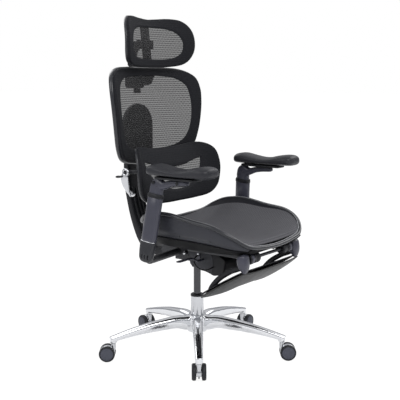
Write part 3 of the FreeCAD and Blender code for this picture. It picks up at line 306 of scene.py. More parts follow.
@dataclass(frozen=True)
class PolishedMetal:
    """Polished or plated metal with faint buffing lines and smudges."""

    name: str
    colour: Colour
    roughness: float = 0.12
    lines: tuple[float, float, float] = (500.0, 500.0, 60.0)
    depth: float = 0.00001

    def make(self) -> bpy.types.Material:
        """Builds the material.

        Returns:
            The material.
        """
        t = Tree(self.name)
        streaks = t.noise(1.0, 4.0, t.mapped(self.lines))
        smudge = t.noise(22.0, 5.0)
        mixed = t.math("MULTIPLY", streaks, smudge)
        rough = t.spread(mixed, self.roughness * 0.6, self.roughness * 2.0)
        tint = t.blend(smudge, shade(self.colour, 0.93), self.colour)
        return t.finish(Base_Color=tint, Metallic=1.0, Roughness=rough, Normal=t.bump(streaks, self.depth))


@dataclass(frozen=True)
class CoatedSteel:
    """Steel under a satin powder coat, with orange peel."""

    name: str
    colour: Colour
    roughness: float = 0.38

    def make(self) -> bpy.types.Material:
        """Builds the material.

        Returns:
            The material.
        """
        t = Tree(self.name)
        peel = t.cells(520.0)
        wear = t.noise(14.0, 5.0)
        tint = t.blend(wear, shade(self.colour, 0.8), shade(self.colour, 1.2))
        rough = t.spread(wear, self.roughness - 0.06, self.roughness + 0.1)
        return t.finish(Base_Color=tint, Roughness=rough, Normal=t.bump(peel, 0.00008), Metallic=0.2)


@dataclass(frozen=True)
class SoftSkin:
    """Soft polyurethane skin with a pebbled grain, shinier where arms rub it."""

    name: str
    colour: Colour
    roughness: float = 0.5
    pebble: float = 620.0

    def make(self) -> bpy.types.Material:
        """Builds the material.

        Returns:
            The material.
        """
        t = Tree(self.name)
        pebbles = t.cells(self.pebble)
        rub = t.noise(16.0, 3.0)
        tint = t.blend(rub, shade(self.colour, 0.88), shade(self.colour, 1.14))
        rough = t.spread(rub, self.roughness - 0.1, self.roughness + 0.08)
        normal = t.bump(pebbles, 0.00016, t.bump(t.noise(40.0, 2.0), 0.0003))
        return t.finish(Base_Color=tint, Roughness=rough, Normal=normal, Specular_IOR_Level=0.25)


@dataclass(frozen=True)
class StretchedNet:
    """Upholstery net: staggered dark dashes over a fine mesh that is open enough to see through."""

    name: str
    light: Colour
    dark: Colour
    rib: float = 330.0
    stitch: float = 420.0
    open_share: float = 0.30
    edge: Colour = (0.021, 0.022, 0.026)

    def make(self) -> bpy.types.Material:
        """Builds the material. Its ribs follow the piece's own UV map, in metres.

        Returns:
            The material.
        """
        t = Tree(self.name)
        uv = t.add("ShaderNodeUVMap", uv_map="cloth").outputs[0]
        split = t.add("ShaderNodeSeparateXYZ")
        t.feed(split.inputs[0], uv)
        along, up = split.outputs[0], split.outputs[1]
        rows = t.math("SINE", t.math("MULTIPLY", up, self.rib * TAU))
        row_number = t.math("FLOOR", t.math("MULTIPLY", up, self.rib))
        shift = t.math("MULTIPLY", row_number, 0.5)
        stitches = t.math("ADD", t.math("MULTIPLY", along, self.stitch), shift)
        columns = t.math("SINE", t.math("MULTIPLY", stitches, TAU))
        crossed = t.math("ADD", rows, t.math("MULTIPLY", columns, 0.6))
        weave = t.math("MULTIPLY_ADD", crossed, 0.31, 0.5, clamp=True)
        cloud = t.noise(7.0, 3.0)
        slub = t.noise(1.0, 3.0, t.mapped((30.0, 30.0, 420.0)))
        mixed = t.math("ADD", t.math("MULTIPLY", weave, 0.75), t.math("MULTIPLY", slub, 0.25), clamp=True)
        tint = t.blend(mixed, self.dark, self.light)
        thin = t.math("MULTIPLY_ADD", t.math("GREATER_THAN", weave, 0.58), -0.5, 1.0)
        gap = t.math("MULTIPLY", thin, self.open_share, clamp=True)
        border = t.add("ShaderNodeAttribute", attribute_name="border").outputs["Fac"]
        closed = t.math("GREATER_THAN", border, 0.5)
        solid = t.math("SUBTRACT", 1.0, t.math("MULTIPLY", gap, t.math("SUBTRACT", 1.0, closed)))
        mottle = t.math("MULTIPLY", t.math("ADD", weave, cloud), 0.5)
        hem = t.blend(mottle, shade(self.edge, 0.75), shade(self.edge, 1.3))
        both = t.add("ShaderNodeMix", data_type="RGBA")
        t.feed(both.inputs["Factor"], closed)
        t.feed(both.inputs["A"], tint)
        t.feed(both.inputs["B"], hem)
        rough = t.spread(cloud, 0.62, 0.8)
        normal = t.bump(weave, 0.0004)
        return t.finish(Base_Color=both.outputs["Result"], Roughness=rough, Normal=normal, Alpha=solid,
                        Specular_IOR_Level=0.12)


# Surfaces on a grid of two parameters


def unit(vectors: Array) -> Array:
    """Vectors of length 1, along the last axis."""
    size = np.linalg.norm(vectors, axis=-1, keepdims=True)
    return vectors / np.maximum(size, 1e-12)


def smooth_curve(knots: Sequence[Sequence[float]], count: int, closed: bool = False) -> Array:
    """A Catmull-Rom curve through knots, as evenly many points in each span.

    Args:
        knots: The points that it passes, of any number of coordinates.
        count: Points in all.
        closed: Whether the last knot joins the first.

    Returns:
        An array of count points.
    """
    k = np.asarray(knots, float)
    if closed:
        k = np.concatenate([k[-1:], k, k[:2]])
    else:
        k = np.concatenate([2 * k[:1] - k[1:2], k, 2 * k[-1:] - k[-2:-1]])
    spans = len(k) - 3
    at = np.linspace(0, spans, count, endpoint=not closed)
    i = np.minimum(at.astype(int), spans - 1)
    t = (at - i)[:, None]
    a, b, c, d = k[i], k[i + 1], k[i + 2], k[i + 3]
    return 0.5 * (2 * b + (c - a) * t + (2 * a - 5 * b + 4 * c - d) * t**2 + (3 * b - 3 * c + d - a) * t**3)


def even(points: Array, count: int, closed: bool = False) -> Array:
    """The same line with its points an equal distance apart.

    Args:
        points: The line's points.
        count: How many points it has.
        closed: Whether the line joins itself.

    Returns:
        An array of count points.
    """
    p = np.concatenate([points, points[:1]]) if closed else points
    run = np.concatenate([[0.0], np.cumsum(np.linalg.norm(np.diff(p, axis=0), axis=1))])
    at = np.linspace(0.0, run[-1], count, endpoint=not closed)
    return np.stack([np.interp(at, run, p[:, i]) for i in range(p.shape[1])], axis=1)


def rounded_section(half_wide: float, half_high: float, power: float, count: int) -> Array:
    """A superellipse: cos and sin raised to 2/power, scaled to the two half sizes.

    Args:
        half_wide: Half the width.
        half_high: Half the height.
        power: 2 for an oval, and more for a box with round corners.
        count: How many points it has.

    Returns:
        A count by 2 array round the section.
    """
    a = np.linspace(0, TAU, count, endpoint=False)
    c, s = np.cos(a), np.sin(a)
    return np.stack([half_wide * np.sign(c) * np.abs(c) ** (2 / power),
                     half_high * np.sign(s) * np.abs(s) ** (2 / power)], axis=1)


def carried(path: Array, sections: Array, side: Array | None = None, closed: bool = False) -> Array:
    """Carries a section along a path.

    Each point of the path gets a frame of its direction, a side vector square to it and their cross
    product; the section's first coordinate goes along the side and its second along the cross product.

    Args:
        path: n points.
        sections: m by 2, or n by m by 2 where it changes along the path.
        side: The wished side vector, one for all or one for each point; +X where it is missing.
        closed: Whether the path joins itself.

    Returns:
        An n by m by 3 grid.
    """
    n = len(path)
    if closed:
        ahead = np.roll(path, -1, axis=0) - np.roll(path, 1, axis=0)
    else:
        ahead = np.gradient(path, axis=0)
    ahead = unit(ahead)
    wish = np.broadcast_to(ACROSS if side is None else np.asarray(side, float), (n, 3))
    across = unit(wish - np.sum(wish * ahead, axis=1, keepdims=True) * ahead)
    up = np.cross(ahead, across)
    s = np.broadcast_to(sections, (n, *np.shape(sections)[-2:]))
    return path[:, None] + s[..., :1] * across[:, None] + s[..., 1:] * up[:, None]


@dataclass
class Grid:
    """A surface as rows and columns of points, with how its edges join."""

    points: Array
    rows_join: bool = False
    columns_join: bool = True
    caps: bool = True
    uv: Array | None = None
    mark: Array | None = None

    def faces(self) -> Array:
        """The four-sided faces, as indices.

        Returns:
            An array with four indices for each face.
        """
        n, m = self.points.shape[:2]
        i = np.arange(n if self.rows_join else n - 1)[:, None]
        j = np.arange(m if self.columns_join else m - 1)[None]
        a = i * m + j
        b = i * m + (j + 1) % m
        c = (i + 1) % n * m + (j + 1) % m
        d = (i + 1) % n * m + j
        return np.stack(np.broadcast_arrays(a, b, c, d), axis=-1).reshape(-1, 4)


def make_piece(name: str, grids: Iterable[Grid], smooth: bool = True) -> Piece:
    """Joins grids into one object at the origin, with faces turned outwards.

    Args:
        name: The piece's name.
        grids: The surfaces that it is made of.
        smooth: Whether its faces are shaded smooth.

    Returns:
        The new object.
    """
    points, faces, uvs, marks, start = [], [], [], [], 0
    for g in grids:
        n, m = g.points.shape[:2]
        points.append(g.points.reshape(-1, 3))
        faces += (g.faces() + start).tolist()
        uvs.append(np.zeros((n * m, 2)) if g.uv is None else g.uv.reshape(-1, 2))
        marks.append(np.zeros(n * m) if g.mark is None else g.mark.ravel())
        if g.caps and g.columns_join and not g.rows_join:
            faces.append((start + np.arange(m)).tolist())
            faces.append((start + (n - 1) * m + np.arange(m)[::-1]).tolist())
        start += n * m
    mesh = bpy.data.meshes.new(name)
    mesh.from_pydata(np.concatenate(points).tolist(), [], faces)
    layer = mesh.uv_layers.new(name="cloth")
    index = np.zeros(len(mesh.loops), np.int32)
    mesh.loops.foreach_get("vertex_index", index)
    layer.data.foreach_set("uv", np.concatenate(uvs)[index].astype(np.float32).ravel())
    border = mesh.attributes.new("border", "FLOAT", "POINT")
    border.data.foreach_set("value", np.concatenate(marks).astype(np.float32))
    b = bmesh.new()
    b.from_mesh(mesh)
    bmesh.ops.remove_doubles(b, verts=b.verts, dist=MERGE)
    bmesh.ops.recalc_face_normals(b, faces=b.faces)
    b.to_mesh(mesh)
    b.free()
    mesh.polygons.foreach_set("use_smooth", [smooth] * len(mesh.polygons))
    piece = bpy.data.objects.new(name, mesh)
    bpy.context.scene.collection.objects.link(piece)
    return piece


def lofted(stations: Sequence[Sequence[float]], power: float, count: int = 28, rows: int = 33,
           side: Array | None = None) -> Grid:
    """A closed bar whose place, width and height change along it.

    The stations (x, y, z, half width, half height) are joined by a Catmull-Rom curve, and each row is a
    superellipse carried square to the curve.

    Args:
        stations: The stations in order.
        power: The superellipse's power, 2 for an oval and more for a box with round corners.
        count: Points round each row.
        rows: Rows along the bar.
        side: The direction of the width.

    Returns:
        The grid, with both ends capped.
    """
    line = smooth_curve(stations, rows)
    ring = rounded_section(1.0, 1.0, power, count)
    sections = ring[None] * line[:, None, 3:5]
    return Grid(carried(line[:, :3], sections, side))


def turned(profile: Sequence[tuple[float, float]], centre: Sequence[float], axis: Sequence[float],
           count: int = 48) -> Grid:
    """A profile of (radius, distance along the axis) turned about an axis.

    Args:
        profile: The profile's points; it starts and ends on the axis, or joins itself.
        centre: A point of the axis, where the distance is 0.
        axis: The axis.
        count: Points round the axis.

    Returns:
        The grid of circles, one for each point of the profile.
    """
    p = np.asarray(profile, float)
    along = unit(np.asarray(axis, float))
    helper = UPWARD if abs(along[2]) < 0.9 else ACROSS
    u = unit(np.cross(along, helper))
    v = np.cross(along, u)
    a = np.linspace(0, TAU, count, endpoint=False)
    circle = np.cos(a)[:, None] * u + np.sin(a)[:, None] * v
    points = np.asarray(centre, float) + p[:, :1, None] * circle[None] + p[:, 1:, None] * along
    return Grid(points, caps=False)


def ring_grid(grid: Grid) -> Grid:
    """A turned grid whose profile joins itself, as a ring's does."""
    return Grid(grid.points, rows_join=True, caps=False)


def drum(radius: float, low: float, high: float, edge: float, centre: Sequence[float],
         axis: Sequence[float], count: int = 40) -> Grid:
    """A solid cylinder with rounded edges, its ends closed by a point on the axis.

    Args:
        radius: The cylinder's radius.
        low: Where it starts along the axis.
        high: Where it ends.
        edge: The radius of its rounded edges.
        centre: The point of the axis that lengths are measured from.
        axis: The axis.
        count: Points round the axis.

    Returns:
        The cylinder's grid.
    """
    a = np.linspace(0, math.pi / 2, 5)
    foot = [(radius - edge + edge * math.sin(x), low + edge - edge * math.cos(x)) for x in a]
    head = [(radius - edge + edge * math.cos(x), high - edge + edge * math.sin(x)) for x in a]
    return turned([(0.0, low), *foot, *head, (0.0, high)], centre, axis, count)


def finish_with(piece: Piece, kind: str, **settings: object) -> Piece:
    """Adds a modifier with its settings to a piece.

    Args:
        piece: The piece.
        kind: The modifier's type.
        settings: Its properties, by name.

    Returns:
        The same piece.
    """
    modifier = piece.modifiers.new(kind.title(), kind)
    for key, value in settings.items():
        setattr(modifier, key, value)
    return piece


def applied(piece: Piece) -> Piece:
    """Turns a piece's modifiers into its mesh, with faces shaded smooth.

    Args:
        piece: The piece.

    Returns:
        The same piece.
    """
    depsgraph = bpy.context.evaluated_depsgraph_get()
    mesh = bpy.data.meshes.new_from_object(piece.evaluated_get(depsgraph))
    old = piece.data
    mesh.name = piece.name
    piece.modifiers.clear()
    piece.data = mesh
    bpy.data.meshes.remove(old)
    mesh.polygons.foreach_set("use_smooth", [True] * len(mesh.polygons))
    return piece


def melted(piece: Piece, voxel: float, passes: int) -> Piece:
    """Melts overlapping closed shells into one casting with soft fillets.

    Args:
        piece: Closed shells that overlap.
        voxel: The size of the remeshing grid.
        passes: How often the surface is smoothed.

    Returns:
        The same piece.
    """
    finish_with(piece, "REMESH", mode="VOXEL", voxel_size=voxel, use_smooth_shade=True)
    finish_with(piece, "SMOOTH", factor=0.5, iterations=passes)
    return applied(piece)


@dataclass
class Finish:
    """A material with the record's slot that it stands for."""

    material: bpy.types.Material
    slot: str


@dataclass
class Workshop:
    """Hands out the finishes, and places each piece on its body."""

    frame: dict
    finishes: dict[str, Finish] = field(default_factory=dict)

    def stock(self, key: str, slot: str, recipe: object) -> None:
        """Makes a finish once and keeps it by its key."""
        self.finishes[key] = Finish(recipe.make(), slot)

    def put(self, piece: Piece, body: str, finish: str, *nodes: str) -> Piece:
        """Rides a piece on a body, dresses it and lets it stand for nodes.

        Args:
            piece: The new piece.
            body: The CAD body that it moves with.
            finish: The key of its finish.
            nodes: The CAD nodes that it replaces.

        Returns:
            The same piece.
        """
        chosen = self.finishes[finish]
        piece.data.materials.clear()
        piece.data.materials.append(chosen.material)
        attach(piece, body)
        if nodes:
            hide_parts(*nodes)
        LOG.info("%s rides on %s", piece.name, body)
        return piece

    def dress(self, finish: str, *nodes: str) -> None:
        """Gives CAD nodes that keep their own shape a finish.

        Args:
            finish: The key of the finish.
            nodes: The CAD nodes.
        """
        for node in nodes:
            piece = self.frame["nodes"][node]
            for place in piece.material_slots:
                place.material = self.finishes[finish].material


@dataclass
class StarBase:
    """The polished five-legged base with its castors and the gas column."""

    radius: float = 0.340
    first_leg: float = 218.1
    trails: tuple[float, ...] = (38.0, 307.0, 2.0, 74.0, 127.0)
    wheel_radius: float = 0.031
    wheel_gap: float = 0.020
    wheel_width: float = 0.0165
    trail: float = 0.024
    hub_radius: float = 0.0385
    hub_heights: tuple[float, float] = (0.084, 0.150)
    socket_radius: float = 0.0145
    socket_heights: tuple[float, float] = (0.0705, 0.094)
    hood_radius: float = 0.0272
    # Distance from the column, middle height, half width and half height of a leg.
    leg: tuple[tuple[float, float, float, float], ...] = (
        (0.020, 0.120, 0.0205, 0.029),
        (0.050, 0.1215, 0.0215, 0.0275),
        (0.085, 0.127, 0.0215, 0.0235),
        (0.130, 0.1235, 0.0205, 0.0215),
        (0.200, 0.1155, 0.0185, 0.0185),
        (0.270, 0.103, 0.0165, 0.0145),
        (0.325, 0.0905, 0.0150, 0.0115),
        (0.352, 0.0835, 0.0140, 0.0105),
    )

    def direction(self, leg: int) -> Array:
        """The way that a leg points, level and of length 1."""
        angle = math.radians(self.first_leg + 72.0 * leg)
        return np.array([math.cos(angle), math.sin(angle), 0.0])

    def leg_grid(self, leg: int) -> Grid:
        """A leg: a superellipse of power 3.4 lofted along the arched line of the leg.

        Args:
            leg: The leg's number, from 0.

        Returns:
            The leg's grid.
        """
        out = self.direction(leg)
        across = np.array([-out[1], out[0], 0.0])
        stations = [[*(out[:2] * r), z, w, h] for r, z, w, h in self.leg]
        return lofted(stations, 3.4, 30, 40, across)

    def star(self) -> Piece:
        """Legs, hub and stem sockets melted into one casting.

        Returns:
            The new piece.
        """
        grids = [self.leg_grid(i) for i in range(5)]
        grids.append(drum(self.hub_radius, *self.hub_heights, 0.004, (0, 0, 0), UPWARD, 56))
        for i in range(5):
            foot = self.direction(i) * self.radius
            grids.append(drum(self.socket_radius, *self.socket_heights, 0.003, foot, UPWARD, 32))
        return melted(make_piece("base_casting", grids), 0.0026, 5)

    def place(self, leg: int) -> tuple[Array, Array, Array]:
        """A castor's stem on the floor, the way it trails, and its axle's direction.

        Args:
            leg: The leg's number, from 0.

        Returns:
            The stem's foot, the direction of the trail and the axle's direction.
        """
        angle = math.radians(self.trails[leg])
        back = np.array([math.cos(angle), math.sin(angle), 0.0])
        return self.direction(leg) * self.radius, back, np.array([-back[1], back[0], 0.0])

    def fork(self, leg: int) -> Piece:
        """The chrome hood: an arched band between the wheels, its neck, and the stem.

        The band is a rounded section carried round the axle from the front of the wheels to their back.

        Args:
            leg: The leg's number, from 0.

        Returns:
            The new piece.
        """
        stem, back, axle = self.place(leg)
        centre = stem + back * self.trail + [0, 0, self.wheel_radius]
        half = self.wheel_gap / 2 - 0.0008
        turn = np.linspace(math.radians(-6), math.radians(196), 33)[:, None]
        arc = centre + self.hood_radius * (np.cos(turn) * back + np.sin(turn) * UPWARD)
        band = Grid(carried(arc, rounded_section(half, 0.0028, 3.0, 20), axle))
        web = drum(0.0245, -0.003, 0.003, 0.001, centre, axle, 40)
        boss = drum(0.0085, -half, half, 0.001, centre, axle, 24)
        collar = drum(0.0088, 0.044, 0.0702, 0.0015, stem, UPWARD, 28)
        pin = drum(0.0054, 0.060, 0.092, 0.001, stem, UPWARD, 20)
        return make_piece(f"castor_hood_{leg + 1}", [band, web, boss, collar, pin])

    def wheels(self, leg: int) -> tuple[Piece, Piece]:
        """The two tyres, and the discs let into their outer faces, turned about the axle.

        Args:
            leg: The leg's number, from 0.

        Returns:
            The tyres and the discs.
        """
        stem, back, axle = self.place(leg)
        centre = stem + back * self.trail + [0, 0, self.wheel_radius]
        r, inner, outer = self.wheel_radius, self.wheel_gap / 2, self.wheel_gap / 2 + self.wheel_width
        lip = 0.0255
        tyre = [(0.004, inner), (r - 0.007, inner), (r - 0.0055, inner + 0.001), (r - 0.002, inner + 0.001),
                (r - 0.0006, inner + 0.0025), (r, inner + 0.006), (r, inner + 0.010),
                (r - 0.0007, outer - 0.004), (r - 0.0022, outer - 0.0014), (r - 0.0042, outer - 0.0002),
                (lip + 0.0006, outer - 0.0006),
                (lip, outer - 0.0016), (lip, outer - 0.0034), (0.004, outer - 0.0034)]
        disc = [(0.0, outer - 0.003), (lip - 0.0006, outer - 0.003), (lip - 0.0006, outer - 0.0018),
                (lip - 0.0016, outer - 0.0009), (0.017, outer - 0.0002), (0.008, outer + 0.0001),
                (0.0, outer + 0.0002)]
        tyres = [ring_grid(turned(tyre, centre, axle * way, 56)) for way in (-1, 1)]
        discs = [turned(disc, centre, axle * way, 48) for way in (-1, 1)]
        tyres.append(drum(0.004, -inner - 0.002, inner + 0.002, 0.0005, centre, axle, 20))
        return (make_piece(f"castor_tyres_{leg + 1}", tyres), make_piece(f"castor_discs_{leg + 1}", discs))

    def build(self, shop: Workshop) -> None:
        """Places the base, the castors and the column.

        Args:
            shop: The workshop that places and dresses the pieces.
        """
        shop.put(self.star(), "base", "aluminium", "base_star")
        for leg in range(5):
            n = leg + 1
            shop.put(self.fork(leg), f"castor_{n}", "chrome", f"castor_fork_{n}")
            tyres, discs = self.wheels(leg)
            shop.put(tyres, f"wheels_{n}", "wheel_black", f"castor_wheels_{n}")
            shop.put(discs, f"wheels_{n}", "wheel_slate")
        shop.dress("chrome", "gas_tube")
        shop.dress("black_plastic", "column_bush")
        shop.dress("piston", "gas_piston")


@dataclass
class SaddleSeat:
    """The seat: a woven saddle hung in a rim, with a moulded wall and tray below it."""

    width: float = 0.510
    depth: float = 0.464
    rear: float = 0.112
    floor: float = 0.462
    rim: float = 0.0085
    net_thickness: float = 0.0018
    wall_thickness: float = 0.0035
    saddle_power: float = 2.4
    screw_places: tuple[float, ...] = (0.32, 0.50, 0.70)
    # Share of the depth, share of the half width, and the rim, wall edge and tray above the floor, mm.
    stations: tuple[tuple[float, float, float, float, float], ...] = (
        (0.00, 0.76, 74.0, 42.0, 36.0),
        (0.07, 0.91, 100.0, 41.0, 20.0),
        (0.18, 0.98, 121.0, 39.0, 5.0),
        (0.36, 1.00, 127.0, 38.0, 0.0),
        (0.58, 1.00, 112.0, 37.0, 0.0),
        (0.78, 0.995, 100.0, 34.0, 2.0),
        (0.92, 0.915, 70.0, 25.0, 4.0),
        (1.00, 0.72, 33.0, 15.0, 6.0),
    )

    def rows(self, count: int) -> Array:
        """Forward distance, half width, rim, wall and tray heights along the seat, in metres.

        Args:
            count: How many rows.

        Returns:
            An array with the five values of each row.
        """
        line = smooth_curve(self.stations, count)
        forward = line[:, 0] * self.depth - self.rear
        heights = self.floor + line[:, 2:] / 1000.0
        return np.column_stack([forward, line[:, 1] * self.width / 2, heights])

    def hoop(self, count: int = 200) -> Array:
        """The rim's centre line: both sides, a bowed front and a bowed rear, evenly divided.

        Args:
            count: How many points it has.

        Returns:
            The line's points.
        """
        f, half, top = self.rows(8)[:, :3].T
        right = np.column_stack([half - self.rim, -f, top])
        front = [(s * half[-1], -f[-1] - out, top[-1] - fall)
                 for s, out, fall in ((0.55, 0.0075, 0.014), (0.0, 0.010, 0.020), (-0.55, 0.0075, 0.014))]
        rear = [(s * half[0], -f[0] + out, top[0] - fall)
                for s, out, fall in ((-0.5, 0.007, 0.007), (0.0, 0.009, 0.009), (0.5, 0.007, 0.007))]
        left = right[::-1] * [-1, 1, 1]
        knots = np.concatenate([right, front, left, rear])
        return even(smooth_curve(knots, 600, closed=True), count, closed=True)

    def net(self) -> Piece:
        """The saddle: across it the height is the middle's plus the rise to the rim times |x| to the 2.4.

        Returns:
            The new piece.
        """
        r = self.rows(72)
        f, half, top, _, tray = (c[:, None] for c in r.T)
        inner = half - 1.55 * self.rim
        middle = np.maximum(tray + 0.034, top - 0.062 - 0.35 * (top - self.floor - 0.090))
        middle = np.minimum(middle, top - 0.008)
        share = np.linspace(-1, 1, 81)[None]
        x = share * inner
        z = middle + (top - middle) * np.abs(share) ** self.saddle_power + 0.0015
        points = np.stack([x, np.broadcast_to(-f, x.shape), z], axis=-1)
        along = np.linspace(0, 1, 72)[:, None]
        hem = 0.86 + 0.12 * np.clip((along - 0.25) / 0.5, 0, 1)
        mark = ((np.abs(share) - hem) * 14 + 0.5).clip(0, 1)
        mark = np.maximum(mark, ((0.045 - along) * 40 + 0.5).clip(0, 1) * np.ones_like(mark))
        uv = np.stack([x, np.broadcast_to(f, x.shape)], axis=-1)
        net = make_piece("seat_net", [Grid(points, columns_join=False, uv=uv, mark=mark)])
        return finish_with(net, "SOLIDIFY", thickness=self.net_thickness, offset=-1.0)

    def edge(self) -> Piece:
        """The moulded rim: a flattened oval carried round the hoop.

        Returns:
            The new piece.
        """
        hoop = self.hoop()
        oval = rounded_section(0.0068, self.rim, 2.3, 20)
        return make_piece("seat_edge", [Grid(carried(hoop, oval, (0, 0, 1), closed=True), rows_join=True)])

    def piping(self) -> Piece:
        """A bead along the rim's inner top, where the net locks in; its pale colour is a painted highlight
        along the rim.

        Returns:
            The new piece.
        """
        hoop = self.hoop()
        inward = unit(np.array([0.0, -0.12, 0.53]) - hoop)
        line = hoop + inward * 0.0042 + [0, 0, 0.0062]
        cord = rounded_section(0.0014, 0.0014, 2, 10)
        return make_piece("seat_piping", [Grid(carried(line, cord, (0, 0, 1), True), rows_join=True)])

    def shell(self) -> tuple[Piece, Piece]:
        """The walls and the tray: one section lofted from rear to front and parted at a ledge.

        The wall bulges outwards below the rim, steps in at a ledge and turns under to the tray.

        Returns:
            The walls and the tray.
        """
        r = self.rows(64)
        closing = np.array([r[0]] * 2 + [r[-1]] * 2)
        closing[:2, 0] -= [0.010, 0.006]
        closing[:2, 3] = r[0, 2] - [0.004, 0.012]
        closing[:2, 4] = r[0, 2] - [0.006, 0.018]
        closing[2:, 0] += [0.004, 0.007]
        closing[2:, 2] -= [0.003, 0.006]
        closing[2:, 3:] = closing[2:, 2:3] - [[0.010, 0.014], [0.004, 0.007]]
        r = np.concatenate([closing[:2], r, closing[2:]])
        f, half, top, wall, tray = (c[:, None] for c in r.T)
        half = half - self.rim
        rise = top - wall
        out = np.array([0.0, 0.003, 0.0042, 0.0044, 0.0036, 0.0020, -0.0018, -0.0024, -0.0042, -0.0100,
                        -0.020])
        up = np.array([1.0, 0.88, 0.70, 0.50, 0.34, 0.235, 0.205, 0.12, 0.045, 0.0, -0.03])
        bulge = np.clip(rise / 0.08, 0.1, 1.0)
        x = half + out * bulge
        z = wall + up * rise
        low = 0.78 * half
        shares = np.array([1.0, 0.93, 0.75, 0.5, 0.25, 0.0])
        x = np.concatenate([x, low * shares], axis=1)
        z = np.concatenate([z, np.broadcast_to(tray, (len(tray), len(shares)))], axis=1)
        x = np.concatenate([x, -x[:, -2::-1]], axis=1)
        z = np.concatenate([z, z[:, -2::-1]], axis=1)
        points = np.stack([x, np.broadcast_to(-f, x.shape), z], axis=-1)
        ledge = 9
        walls = make_piece("seat_walls", [Grid(points[:, :ledge], columns_join=False),
                                          Grid(points[:, -ledge:], columns_join=False)])
        tray = make_piece("seat_tray", [Grid(points[:, ledge - 1:1 - ledge], columns_join=False)])
        return tuple(finish_with(p, "SOLIDIFY", thickness=self.wall_thickness, offset=-1.0)
                     for p in (walls, tray))

    def screws(self) -> Piece:
        """Small screw heads along the ledge of both walls.

        Returns:
            The new piece.
        """
        grids = []
        for at in self.screw_places:
            f, half, _, wall, _ = self.rows(101)[int(at * 100)]
            for side in Side:
                spot = (side.value * (half - self.rim - 0.0006), -f, wall + 0.0155)
                grids.append(drum(0.0032, 0.0, 0.003, 0.0008, spot, (side.value, 0, 0), 16))
        return make_piece("seat_screws", grids)

    def build(self, shop: Workshop) -> None:
        """Places the seat and dresses the slide below it.

        Args:
            shop: The workshop that places and dresses the pieces.
        """
        edge = shop.put(self.edge(), "seat", "rim_plastic", "seat_rim")
        net = shop.put(self.net(), "seat", "seat_net", "seat_mesh")
        # The rim's bead is pale: a painted highlight along the seat's rim.
        shop.put(self.piping(), "seat", "piping")
        walls, tray = self.shell()
        shop.put(walls, "seat", "shell", "seat_frame")
        # The tray's finish is darker and duller than the other black plastic: painted shade under the seat.
        shop.put(tray, "seat", "tray")
        shop.put(self.screws(), "seat", "steel")
        shop.dress("steel", "seat_plate", "seat_rails", "seat_shaft")


